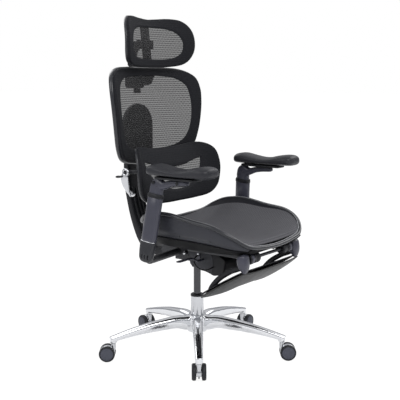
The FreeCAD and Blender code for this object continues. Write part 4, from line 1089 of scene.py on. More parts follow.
@dataclass
class Footrest:
    """The calf rest on its sliding tubes: panel, inner plate, braces, end caps and clamps."""

    reach: float = 0.328
    height: float = 0.442
    slope: float = 31.5
    half: float = 0.236
    guide: float = 0.100
    # The panel's hinge edge, ahead of and below the tubes.
    ahead: float = 0.012
    below: float = 0.040
    # The panel's length at its lobes and at the recess, and the recess's half width and blend.
    long: float = 0.203
    recess: float = 0.146
    recess_half: float = 0.098
    recess_blend: float = 0.030
    # Distance from the hinge edge, share of the half width, and thickness.
    stations: tuple[tuple[float, float, float], ...] = (
        (0.000, 0.78, 0.008), (0.030, 0.89, 0.015), (0.080, 0.96, 0.020), (0.140, 0.97, 0.020),
        (0.188, 0.92, 0.013), (0.203, 0.84, 0.006),
    )

    def place(self, x: Array, along: Array, out: Array) -> Array:
        """Points of the stowed panel: along it from its hinge, and out from its inner face.

        Args:
            x: Distances across the chair.
            along: Distances from the hinge edge, down the panel.
            out: Distances out from the inner face.

        Returns:
            The points.
        """
        turn = math.radians(self.slope)
        f = self.reach + self.ahead - along * math.cos(turn) + out * math.sin(turn)
        z = self.height - self.below - along * math.sin(turn) - out * math.cos(turn)
        return np.stack([x, -f, z], axis=-1)

    def skin(self, out_share: float, inset: float, lift: float) -> Grid:
        """A crowned sheet of the panel's outline, whose far edge is drawn in between its two lobes.

        The thickness falls with the fourth power of the distance across, and the far edge moves from the
        lobes' length to the recess along a smooth step.

        Args:
            out_share: The share of the thickness that it stands out.
            inset: How far its edges lie inside the panel's.
            lift: A shift outwards.

        Returns:
            The sheet's grid.
        """
        line = smooth_curve(self.stations, 40)
        share = np.linspace(-1, 1, 71)[None]
        half = (line[:, 1] * self.half - inset)[:, None]
        x = share * half
        step = np.clip((np.abs(x) - self.recess_half) / self.recess_blend, 0, 1)
        end = self.recess + (self.long - self.recess) * step * step * (3 - 2 * step)
        along = line[:, :1] / self.long * (end - inset)
        crown = 0.002 + (line[:, 2:] - 0.002) * (1 - np.abs(share) ** 4)
        return Grid(self.place(x, along, crown * out_share + lift), columns_join=False)

    def panel(self) -> Piece:
        """The grey outer panel with its rounded lip.

        Returns:
            The new piece.
        """
        panel = make_piece("footrest_panel", [self.skin(1.0, 0.0, 0.0)])
        finish_with(panel, "SOLIDIFY", thickness=0.0055, offset=-1.0)
        finish_with(panel, "BEVEL", width=0.0022, segments=3, limit_method="ANGLE",
                    angle_limit=math.radians(50))
        return applied(panel)

    def lining(self) -> Piece:
        """The black plate inside the panel, which covers its hollow.

        Returns:
            The new piece.
        """
        lining = make_piece("footrest_lining", [self.skin(0.25, 0.006, -0.004)])
        finish_with(lining, "SOLIDIFY", thickness=0.003, offset=1.0)
        return applied(lining)

    def cap_grid(self, side: Side) -> Grid:
        """An end cap: an oval lofted from above the rod down to the panel, leaning forward.

        Args:
            side: The side of the chair.

        Returns:
            The grid.
        """
        x = side.value * (self.guide + 0.074)
        f, z = self.reach, self.height
        rows = [(0.001, 0.0215, 0.010, 0.004), (0.002, 0.0200, 0.0180, 0.0110),
                (0.0028, 0.0150, 0.0212, 0.0170), (0.0035, 0.0, 0.0225, 0.0195),
                (0.0060, -0.014, 0.0215, 0.0185), (0.0090, -0.026, 0.0195, 0.0145),
                (0.0110, -0.036, 0.0150, 0.0088), (0.0110, -0.0425, 0.0120, 0.0055),
                (0.0110, -0.0445, 0.006, 0.002)]
        stations = [(x, -(f + ahead), z + up, wide, deep) for ahead, up, wide, deep in rows]
        return lofted(stations, 2.8, 28, 36, ACROSS)

    def brace_grid(self, side: Side) -> Grid:
        """A curved brace: a flat bar from the cap, back under the tubes and down to the panel's tip.

        Args:
            side: The side of the chair.

        Returns:
            The grid.
        """
        x = side.value * (self.guide + 0.072)
        turn = math.radians(self.slope)
        tip = 0.180
        tip_f = self.reach + self.ahead - tip * math.cos(turn)
        tip_z = self.height - self.below - tip * math.sin(turn)
        route = [(self.reach - 0.002, self.height - 0.024, 0.0100, 0.0095),
                 (self.reach - 0.026, self.height - 0.034, 0.0100, 0.0100),
                 (self.reach - 0.052, self.height - 0.046, 0.0090, 0.0095),
                 (tip_f + 0.046, tip_z + 0.060, 0.0090, 0.0100),
                 (tip_f + 0.012, tip_z + 0.024, 0.0100, 0.0090), (tip_f, tip_z + 0.001, 0.0120, 0.0055)]
        stations = [(x, -f, z, wide, deep) for f, z, wide, deep in route]
        return lofted(stations, 3.0, 22, 40, ACROSS)

    def clamp_grid(self, side: Side) -> Grid:
        """A clamp barrel with a waist groove and round ends.

        Args:
            side: The side of the chair.

        Returns:
            The grid.
        """
        start = side.value * (self.guide - 0.020)
        profile = [(0.0062, 0.0), (0.0155, 0.0), (0.0184, 0.0018), (0.0194, 0.0050), (0.0194, 0.0240),
                   (0.0184, 0.0250), (0.0184, 0.0285), (0.0194, 0.0295), (0.0194, 0.0560), (0.0182, 0.0600),
                   (0.0150, 0.0620), (0.0062, 0.0620)]
        return ring_grid(turned(profile, (start, -self.reach, self.height), (side.value, 0, 0), 44))

    def band_grid(self, side: Side) -> Grid:
        """The raised band round the outer end of a clamp.

        Args:
            side: The side of the chair.

        Returns:
            The grid.
        """
        start = side.value * (self.guide + 0.022)
        profile = [(0.0190, 0.0), (0.0202, 0.0008), (0.0205, 0.004), (0.0205, 0.010), (0.0200, 0.0135),
                   (0.0184, 0.0155), (0.0170, 0.012), (0.0170, 0.002)]
        return ring_grid(turned(profile, (start, -self.reach, self.height), (side.value, 0, 0), 44))

    def build(self, shop: Workshop) -> None:
        """Places the footrest's pieces.

        Args:
            shop: The workshop that places and dresses the pieces.
        """
        shop.put(self.panel(), "footrest", "panel", "footrest_pad")
        shop.put(self.lining(), "footrest", "black_plastic")
        pairs = (("footrest_end_caps", self.cap_grid, "footrest", "lavender", "footrest_caps"),
                 ("footrest_brace_bars", self.brace_grid, "footrest", "black_plastic", "footrest_braces"),
                 ("footrest_barrels", self.clamp_grid, "footrest_slide", "black_plastic", "footrest_clamps"),
                 ("footrest_clamp_rings", self.band_grid, "footrest_slide", "lavender"))
        for name, make, body, finish, *nodes in pairs:
            shop.put(make_piece(name, [make(s) for s in Side]), body, finish, *nodes)
        shop.dress("steel", "footrest_tubes")


# The control cable's route, as in part.py: x, forward distance and height, in metres.
CABLE_POINTS = ((-0.0734, 0.060, 0.410), (-0.092, 0.058, 0.406), (-0.111, 0.066, 0.391),
                (-0.117, 0.088, 0.373), (-0.105, 0.111, 0.363), (-0.088, 0.122, 0.366),
                (-0.070, 0.128, 0.372))
CABLE_WIDTH = 0.005


def control_cable(shop: Workshop) -> None:
    """The stiff cable that loops from the lever's bracket to the mechanism's shell.

    Args:
        shop: The workshop that places and dresses the pieces.
    """
    line = bpy.data.curves.new("control_cable_line", "CURVE")
    line.dimensions = "3D"
    line.bevel_depth = CABLE_WIDTH / 2
    line.bevel_resolution = 5
    line.resolution_u = 16
    line.use_fill_caps = True
    spline = line.splines.new("NURBS")
    spline.points.add(len(CABLE_POINTS) - 1)
    for point, (x, forward, z) in zip(spline.points, CABLE_POINTS):
        point.co = (x, -forward, z, 1.0)
    spline.order_u = 3
    spline.use_endpoint_u = True
    cable = bpy.data.objects.new("control_cable_loop", line)
    bpy.context.scene.collection.objects.link(cable)
    shop.put(cable, "chassis", "jacket", "control_cable")


@dataclass
class Mechanism:
    """The tilt mechanism under the seat: shell, springs, tension knob, levers and bracket."""

    front: float = 0.112
    bottom: float = 0.378
    top: float = 0.424
    cover_half: float = 0.070
    width_half: float = 0.059
    shaft_half: float = 0.084
    shaft_height: float = 0.412
    knob_grooves: int = 12

    def prism(self, outline: Sequence[tuple[float, float]], low: float, high: float, edge: float) -> Grid:
        """A plate across the chair from its side view, with corners and edges rounded.

        The outline is a smooth curve through (forward, height) points. Towards each face the rings draw in
        to the middle along a quarter circle of the edge's radius.

        Args:
            outline: The side view, as (forward, height) points.
            low: Where it starts across the chair.
            high: Where it ends.
            edge: The radius of its edges.

        Returns:
            The plate's grid.
        """
        flat = even(smooth_curve(outline, 480, closed=True), 120, closed=True)
        middle = flat.mean(axis=0)
        away = unit(flat - middle)
        a = np.linspace(0, math.pi / 2, 5)
        step = edge * (1 - np.sin(a))
        x = np.concatenate([low + step[::-1], high - step])
        draw = edge * (1 - np.cos(a))
        inset = np.concatenate([draw[::-1], draw])
        rings = flat[None] - inset[:, None, None] * away[None]
        x = np.broadcast_to(x[:, None], rings.shape[:2])
        return Grid(np.stack([x, -rings[..., 0], rings[..., 1]], axis=-1))

    def cover(self) -> Piece:
        """The shell that hides the mechanism's front.

        Returns:
            The new piece.
        """
        f, low, top = self.front, self.bottom, self.top
        outline = [(f - 0.100, top + 0.008), (f - 0.098, low + 0.022), (f - 0.096, low - 0.006),
                   (f - 0.080, low - 0.017), (f - 0.050, low - 0.024), (f - 0.015, low - 0.031),
                   (f + 0.002, low - 0.036), (f + 0.018, low - 0.040), (f + 0.042, low - 0.034),
                   (f + 0.062, low - 0.023), (f + 0.069, low + 0.002), (f + 0.071, top - 0.022),
                   (f + 0.050, top - 0.008), (f + 0.022, top + 0.002), (f - 0.040, top + 0.006)]
        return make_piece("mechanism_shell", [self.prism(outline, -self.cover_half, self.cover_half, 0.006)])

    def cheeks(self) -> Piece:
        """The grey plates on both sides of the shell's rear half.

        Returns:
            The new piece.
        """
        f, low, top = self.front, self.bottom, self.top
        outline = [(f - 0.096, top + 0.003), (f - 0.094, low + 0.020), (f - 0.091, low - 0.003),
                   (f - 0.074, low - 0.013), (f - 0.048, low - 0.019), (f - 0.012, low - 0.027),
                   (f + 0.008, low - 0.030), (f + 0.015, low + 0.002), (f + 0.008, top - 0.008),
                   (f - 0.035, top + 0.001)]
        half = self.cover_half
        return make_piece("mechanism_cheeks", [self.prism(outline, half - 0.001, half + 0.0012, 0.0008),
                                               self.prism(outline, -half - 0.0012, -half + 0.001, 0.0008)])

    def springs(self) -> Piece:
        """Two coil springs: a round wire carried along a helix whose ends close up.

        Returns:
            The new piece.
        """
        grids = []
        turns, radius, wire = 7, 0.011, 0.0019
        start, length = -0.0265, -0.0585
        at = np.linspace(0, 1, turns * 28)
        rise = np.interp(at, [0, 1 / turns, 1 - 1 / turns, 1], [0.0, 0.035, 0.965, 1.0])
        for side in Side:
            x = side.value * self.width_half / 2 + radius * np.cos(at * turns * TAU)
            z = self.top - 0.024 + radius * np.sin(at * turns * TAU)
            path = np.column_stack([x, start + rise * length, z])
            grids.append(Grid(carried(path, rounded_section(wire, wire, 2, 10), (0, 1, 0))))
        return make_piece("tilt_coils", grids)

    def knob(self) -> Piece:
        """The tension knob: a turned grip whose wall has finger grooves, as a cosine round its axis.

        Returns:
            The new piece.
        """
        profile = [(0.0, -0.010), (0.0058, -0.010), (0.0058, 0.0004), (0.0175, 0.0006), (0.0195, 0.0020),
                   (0.0200, 0.0045), (0.0194, 0.0120), (0.0186, 0.0200), (0.0178, 0.0255), (0.0160, 0.0275),
                   (0.0120, 0.0280), (0.0, 0.0280)]
        centre = np.array([self.cover_half, -self.front - 0.034, self.bottom + 0.004])
        grid = turned(profile, centre, (1, 0, 0), 96)
        depth = 0.045
        turn = np.linspace(0, TAU, 96, endpoint=False)
        groove = 1 - depth * (0.5 + 0.5 * np.cos(turn * self.knob_grooves))
        grip = np.array([0.0, 0.0, 0.0, 0.3, 1.0, 1.0, 1.0, 1.0, 1.0, 0.7, 0.0, 0.0])[:, None]
        scale = 1 + grip * (groove[None] - 1)
        points = grid.points.copy()
        points[..., 1:] = centre[1:] + (points[..., 1:] - centre[1:]) * scale[..., None]
        return make_piece("tension_grip", [Grid(points, caps=False)])

    def lever(self, side: Side, reach: float) -> Piece:
        """A lever: a round rod that cranks up and flattens to a paddle.

        Args:
            side: The side of the chair.
            reach: Where the paddle starts, from the middle of the chair.

        Returns:
            The new piece.
        """
        x, y, z = side.value, -(self.front - 0.030), self.bottom + 0.018
        half, lift = self.width_half, 0.018
        route = [(half + 0.001, 0.0, 0.0040, 0.0040), (half + 0.034, 0.0, 0.0040, 0.0040),
                 (half + 0.052, 0.003, 0.0040, 0.0040), (reach - 0.036, lift - 0.003, 0.0040, 0.0040),
                 (reach - 0.014, lift, 0.0042, 0.0040), (reach + 0.002, lift, 0.0075, 0.0034),
                 (reach + 0.016, lift, 0.0105, 0.0026), (reach + 0.036, lift, 0.0110, 0.0025),
                 (reach + 0.047, lift, 0.0100, 0.0024), (reach + 0.052, lift, 0.0055, 0.0016)]
        stations = [(x * out, y, z + up, wide, thick) for out, up, wide, thick in route]
        bar = lofted(stations, 2.3, 24, 90, np.array([0.0, 1.0, 0.0]))
        return make_piece(f"{side.word}_paddle_lever", [bar])

    def bracket_screws(self) -> Piece:
        """Bright screw heads on the lever's bracket and the main shaft's ends.

        Returns:
            The new piece.
        """
        plate = (-self.cover_half - 0.0034, -self.front + 0.052, self.bottom + 0.036)
        grids = [drum(0.0042, -0.001, 0.0026, 0.0010, plate, (-1, 0, 0), 20)]
        for side in Side:
            shaft_end = (side.value * self.shaft_half, 0.0, self.shaft_height)
            grids.append(drum(0.0062, -0.002, 0.0012, 0.0010, shaft_end, (side.value, 0, 0), 28))
        return make_piece("mechanism_screws", grids)

    def build(self, shop: Workshop) -> None:
        """Places the mechanism's pieces.

        Args:
            shop: The workshop that places and dresses the pieces.
        """
        shop.put(self.cover(), "chassis", "black_plastic", "mechanism_cover")
        shop.put(self.cheeks(), "chassis", "cover_grey")
        shop.put(self.springs(), "chassis", "steel", "tilt_springs")
        shop.put(self.knob(), "tension_knob", "black_plastic", "tension_knob")
        shop.put(self.lever(Side.RIGHT, 0.176), "lift_lever", "lavender", "lift_lever")
        shop.put(self.lever(Side.LEFT, 0.190), "recline_lever", "lavender", "recline_lever")
        shop.put(self.bracket_screws(), "chassis", "chrome")
        shop.dress("cast", "mechanism_housing", "rear_casting")
        shop.dress("lavender", "lever_plate")


def mirrored_ring(right: Sequence[Sequence[float]]) -> Array:
    """A closed outline from its right half, listed from the top middle down to the bottom middle."""
    half = np.asarray(right, float)
    return np.concatenate([half, half[-2:0:-1] * np.array([-1.0] + [1.0] * (half.shape[1] - 1))])


@dataclass
class WovenPanel:
    """A net stretched inside a wide cloth border, on a bowed surface.

    The outline and the window are closed curves of (x, z), listed as right halves. Rings of points run
    from the middle to the window, on to the outline, and round the rolled edge to the back.
    """

    name: str
    outline: tuple[tuple[float, float], ...]
    window: tuple[tuple[float, float], ...]
    middle: tuple[float, float]
    surface: Callable[[Array, Array], Array]
    puff: float = 0.004
    edge: float = 0.016
    around: int = 200
    thickness: float = 0.0016

    def ring(self, knots: tuple[tuple[float, float], ...]) -> Array:
        """A smooth closed curve through an outline's knots, by angle round the middle.

        Args:
            knots: The outline's right half.

        Returns:
            One point for each of the evenly divided angles.
        """
        curve = smooth_curve(mirrored_ring(knots), 1200, closed=True)
        angle = np.unwrap(np.arctan2(curve[:, 1] - self.middle[1], curve[:, 0] - self.middle[0]))
        order = np.argsort(angle)
        turn = np.linspace(angle.min(), angle.min() + TAU, self.around, endpoint=False)
        return np.stack([np.interp(turn, angle[order], curve[order, i], period=TAU) for i in (0, 1)], axis=1)

    def make(self) -> Piece:
        """Builds the panel as one sheet, its border marked by an attribute.

        Returns:
            The new piece.
        """
        centre = np.array(self.middle)
        outer = self.ring(self.outline)
        start = np.arctan2(*(outer[0] - centre)[::-1])
        inner = self.ring(self.window)
        inner_start = np.arctan2(*(inner[0] - centre)[::-1])
        inner = np.roll(inner, int(round((inner_start - start) / TAU * self.around)), axis=0)
        shares = np.concatenate([np.linspace(0.0, 0.985, 26), [1.0, 1.015], np.linspace(1.05, 2.0, 16)])
        s = shares[:, None, None]
        flat = np.where(s <= 1, centre + s * (inner - centre), inner + (s - 1) * (outer - inner))
        y = self.surface(flat[..., 0], flat[..., 1])
        round_up = np.clip((shares - 1) / 0.22, 0, 1) * np.clip((2.06 - shares) / 0.30, 0, 1) ** 0.5
        y = y - self.puff * (round_up * (2 - round_up))[:, None]
        mark = np.repeat(np.clip((shares - 1) / 0.03 + 0.5, 0, 1)[:, None], self.around, axis=1)
        tangent = unit(np.roll(outer, -1, axis=0) - np.roll(outer, 1, axis=0))
        normal = np.stack([tangent[:, 1], -tangent[:, 0]], axis=1)
        normal *= np.sign(np.sum(normal * (outer - centre)))
        turn = np.linspace(0, math.pi, 9)[1:]
        out = 0.32 * self.edge * np.sin(turn)
        back = 0.5 * self.edge * (1 - np.cos(turn))
        rim = outer[None] + out[:, None, None] * normal[None]
        rim = np.concatenate([rim, (outer - 0.012 * normal)[None]])
        back = np.append(back, self.edge)
        rim_y = y[-1][None] + back[:, None]
        flat = np.concatenate([flat, rim])
        y = np.concatenate([y, rim_y])
        mark = np.concatenate([mark, np.ones((len(rim), self.around))])
        points = np.stack([flat[..., 0], y, flat[..., 1]], axis=-1)
        panel = make_piece(self.name, [Grid(points, caps=False, uv=flat, mark=mark)])
        return finish_with(panel, "SOLIDIFY", thickness=self.thickness, offset=1.0)


# Right halves of the outlines, as x and height, from the top middle to the bottom middle.
BACK_OUTLINE = ((0.0, 1.1085), (0.105, 1.1075), (0.187, 1.1015), (0.240, 1.079), (0.257, 1.035),
                (0.257, 0.981), (0.2500, 0.921), (0.239, 0.861), (0.221, 0.806), (0.184, 0.766),
                (0.102, 0.7495), (0.0, 0.748))
BACK_WINDOW = ((0.0, 1.084), (0.085, 1.082), (0.154, 1.073), (0.199, 1.046), (0.213, 1.004),
               (0.216, 0.961), (0.212, 0.911), (0.201, 0.866), (0.178, 0.828), (0.132, 0.804),
               (0.070, 0.795), (0.0, 0.793))
HEAD_OUTLINE = ((0.0, 1.296), (0.055, 1.2995), (0.112, 1.3035), (0.158, 1.297), (0.187, 1.268),
                (0.197, 1.222), (0.192, 1.172), (0.163, 1.136), (0.100, 1.123), (0.0, 1.121))
HEAD_WINDOW = ((0.0, 1.269), (0.072, 1.267), (0.120, 1.256), (0.146, 1.230), (0.152, 1.203),
               (0.144, 1.174), (0.114, 1.155), (0.066, 1.147), (0.0, 1.146))
LUMBAR_OUTLINE = ((0.0, 0.797), (0.094, 0.802), (0.182, 0.811), (0.228, 0.792), (0.243, 0.742),
                  (0.243, 0.688), (0.228, 0.640), (0.182, 0.613), (0.094, 0.606), (0.0, 0.605))
LUMBAR_WINDOW = ((0.0, 0.729), (0.060, 0.731), (0.110, 0.741), (0.148, 0.757), (0.170, 0.764),
                 (0.170, 0.744), (0.155, 0.713), (0.125, 0.684), (0.080, 0.660), (0.035, 0.647),
                 (0.0, 0.644))


def back_surface(x: Array, z: Array) -> Array:
    """The back's y: bowed across by (1 - share squared), and leaning back with the square of the height.

    Args:
        x: Distances across the chair.
        z: Heights.

    Returns:
        The y of each point.
    """
    bend, bend_height, half_width = 0.850, 0.230, 0.268
    sides, lean, bow, front = 0.166, 0.022, 0.076, 0.004
    above = np.maximum(0.0, z - bend) / bend_height
    share = np.minimum(1.0, np.abs(x) / half_width)
    return sides + lean * above**2 + bow * (1 - share**2) - front


def lumbar_surface(x: Array, z: Array) -> Array:
    """The lumbar's y: a slope from the low edge to the top one, with wings that come forward.

    Args:
        x: Distances across the chair.
        z: Heights.

    Returns:
        The y of each point.
    """
    half_width, top_height, low_height, front = 0.243, 0.797, 0.605, 0.007
    wide = np.abs(x) / half_width
    high = top_height + 0.012 * wide
    low = low_height + 0.006 * wide
    up = np.clip((z - low) / (high - low), 0, 1)
    top = 0.159 - 0.022 * wide**2 - 0.052 * wide**6
    foot = 0.087 - 0.005 * wide - 0.010 * wide**6
    return foot + (top - foot) * up**1.15 - front


def head_surface(x: Array, z: Array) -> Array:
    """The headrest's y: bowed across, hollow in its height, and leaning back at the top.

    Args:
        x: Distances across the chair.
        z: Heights.

    Returns:
        The y of each point.
    """
    low_height, tall, half_width = 1.121, 0.180, 0.200
    hollow, front = 0.013, 0.006
    up = np.clip((z - low_height) / tall, 0, 1)
    bow = 1 - np.minimum(1.0, np.abs(x) / half_width) ** 2
    high = 0.183 + 0.067 * bow
    low = 0.181 + 0.045 * bow
    return low + (high - low) * up - hollow * np.sin(math.pi * up) - front


@dataclass
class Backrest:
    """Back, lumbar support and headrest, with the frame and fittings behind them."""

    pivot: tuple[float, float, float] = (0.2625, 0.132, 0.730)

    def hoop(self, name: str, outline: tuple, surface: Callable, behind: float, out: float,
             wide: float, deep: float) -> Piece:
        """A moulded frame behind a panel: a flattened oval carried round the outline.

        Args:
            name: The piece's name.
            outline: The panel's outline.
            surface: The panel's y at x and z.
            behind: How far the frame lies behind the panel.
            out: How far it lies outside the outline.
            wide: Half of the oval's width.
            deep: Half of its depth.

        Returns:
            The frame.
        """
        flat = even(smooth_curve(mirrored_ring(outline), 900, closed=True), 180, closed=True)
        tangent = unit(np.roll(flat, -1, axis=0) - np.roll(flat, 1, axis=0))
        normal = np.stack([-tangent[:, 1], tangent[:, 0]], axis=1)
        normal *= np.sign(np.sum(normal * (flat - flat.mean(axis=0))))
        y = surface(flat[:, 0], flat[:, 1]) + behind
        moved = flat + normal * out
        path = np.stack([moved[:, 0], y, moved[:, 1]], axis=1)
        side = np.stack([normal[:, 0], np.zeros(len(flat)), normal[:, 1]], axis=1)
        ring = carried(path, rounded_section(wide, deep, 2.4, 20), side, closed=True)
        return make_piece(name, [Grid(ring, rows_join=True)])

    def spine(self) -> Piece:
        """The broad bar from the casting up to the plate behind the back, with ribs down its front.

        Returns:
            The new piece.
        """
        route = [(0.118, 0.398, 0.0200), (0.180, 0.391, 0.0205), (0.226, 0.403, 0.0225),
                 (0.2575, 0.435, 0.0205), (0.2815, 0.481, 0.0185), (0.301, 0.533, 0.0170),
                 (0.316, 0.590, 0.0162), (0.3255, 0.640, 0.0158), (0.3300, 0.715, 0.0155),
                 (0.3275, 0.790, 0.0145), (0.3205, 0.860, 0.0112), (0.3185, 0.915, 0.0085),
                 (0.3180, 0.925, 0.0060)]
        stations = [(0.0, y, z, 0.045, deep) for y, z, deep in route]
        grids = [lofted(stations, 4.5, 40, 110, ACROSS)]
        rib = [(0.2400, 0.4500, 0.0030), (0.2640, 0.4900, 0.0048), (0.2840, 0.5370, 0.0052),
               (0.2990, 0.5900, 0.0048), (0.3090, 0.6350, 0.0020)]
        for x in (-0.030, -0.010, 0.010, 0.030):
            line = [(x, y, z, 0.0018, deep) for y, z, deep in rib]
            grids.append(lofted(line, 3.0, 14, 40, ACROSS))
        return make_piece("back_spine_bar", grids)

    def yoke(self) -> Piece:
        """Chrome arms that run from the spine behind the lumbar and widen to its pivot rings.

        Returns:
            The new piece.
        """
        grids = []
        ring = [(0.0046, -0.0045), (0.0128, -0.0045), (0.0152, -0.0025), (0.0158, 0.0), (0.0152, 0.0030),
                (0.0130, 0.0048), (0.0085, 0.0048), (0.0078, 0.0036), (0.0046, 0.0036)]
        across, *rest = self.pivot
        for side in Side:
            x = side.value
            route = [(x * 0.044, 0.312, 0.626, 0.0050, 0.0052), (x * 0.100, 0.250, 0.628, 0.0050, 0.0052),
                     (x * 0.160, 0.184, 0.631, 0.0050, 0.0056), (x * 0.214, 0.152, 0.638, 0.0048, 0.0070),
                     (x * 0.242, 0.144, 0.662, 0.0045, 0.0125), (x * 0.257, 0.141, 0.692, 0.0042, 0.0185),
                     (x * 0.2625, 0.137, 0.712, 0.0040, 0.0180), (x * 0.2625, 0.133, 0.727, 0.0038, 0.0125)]
            grids.append(lofted(route, 2.6, 24, 90, np.array([1.0, 0.0, 0.3 * x])))
            grids.append(ring_grid(turned(ring, (x * across, *rest), (x, 0, 0), 44)))
        return make_piece("chrome_yoke_arms", grids)

    def bracket_wing(self) -> Piece:
        """The wide web behind the back's top that carries the headrest's bracket.

        Returns:
            The new piece.
        """
        stations = [(0.0, 0.2640, 1.0480, 0.030, 0.0030), (0.0, 0.2645, 1.0510, 0.043, 0.0040),
                    (0.0, 0.2655, 1.0700, 0.056, 0.0042), (0.0, 0.2665, 1.0900, 0.070, 0.0042),
                    (0.0, 0.2665, 1.0980, 0.074, 0.0035)]
        return make_piece("headrest_bracket_wing", [lofted(stations, 4.0, 30, 24, ACROSS)])

    def lumbar_fittings(self) -> Piece:
        """Pivot pins, the arms that hold the lumbar's hoop, and the small lever on the right.

        Returns:
            The new piece.
        """
        grids = []
        across, *rest = self.pivot
        for side in Side:
            x = side.value
            grids.append(drum(0.0076, -0.004, 0.0052, 0.0012, (x * across, *rest), (x, 0, 0), 28))
            route = [(x * 0.2560, 0.132, 0.730, 0.0055, 0.0085), (x * 0.2485, 0.120, 0.731, 0.0050, 0.0085),
                     (x * 0.2450, 0.100, 0.733, 0.0045, 0.0080), (x * 0.2400, 0.084, 0.735, 0.0040, 0.0070)]
            grids.append(lofted(route, 2.6, 20, 30, ACROSS))
        small_lever = [(-0.262, 0.140, 0.716, 0.004, 0.004), (-0.266, 0.154, 0.713, 0.0034, 0.0040),
                       (-0.268, 0.168, 0.7115, 0.0032, 0.0046), (-0.269, 0.176, 0.7105, 0.0020, 0.0026)]
        grids.append(lofted(small_lever, 2.2, 16, 20, ACROSS))
        return make_piece("lumbar_pivots", grids)

    def stretched(self, shop: Workshop, body: str, ring: Piece, panel: WovenPanel) -> tuple[Piece, Piece]:
        """Places a frame, then makes and places the net on it; both stand for the body's own nodes."""
        shop.put(ring, body, "rim_plastic", f"{body}_frame")
        return ring, shop.put(panel.make(), body, "net", f"{body}_mesh")

    def build(self, shop: Workshop) -> None:
        """Places everything that leans with the back.

        Args:
            shop: The workshop that places and dresses the pieces.
        """
        shop.put(self.spine(), "recliner", "black_plastic", "back_spine")
        shop.put(self.yoke(), "recliner", "chrome", "chrome_yoke")
        shop.dress("black_plastic", "spine_plate", "back_carrier", "headrest_bracket", "headrest_slider")
        shop.put(self.bracket_wing(), "back", "black_plastic")
        shop.dress("steel", "recliner_screws", "main_shaft")
        ring = self.hoop("back_hoop", BACK_OUTLINE, back_surface, 0.0165, 0.0015, 0.0085, 0.0095)
        net = WovenPanel("back_net", BACK_OUTLINE, BACK_WINDOW, (0.0, 0.940), back_surface, 0.003, 0.010)
        ring, net = self.stretched(shop, "back", ring, net)
        ring = self.hoop("lumbar_hoop", LUMBAR_OUTLINE, lumbar_surface, 0.013, -0.002, 0.007, 0.007)
        net = WovenPanel("lumbar_net", LUMBAR_OUTLINE, LUMBAR_WINDOW, (0.0, 0.705), lumbar_surface, 0.005,
                         0.012)
        ring, net = self.stretched(shop, "lumbar", ring, net)
        shop.put(self.lumbar_fittings(), "lumbar", "black_plastic", "lumbar_arms")
        ring = self.hoop("headrest_hoop", HEAD_OUTLINE, head_surface, 0.0125, -0.0015, 0.007, 0.0072)
        net = WovenPanel("headrest_net", HEAD_OUTLINE, HEAD_WINDOW, (0.0, 1.211), head_surface, 0.004,
                         0.010)
        ring, net = self.stretched(shop, "headrest", ring, net)
        shop.dress("black_plastic", "headrest_bar")


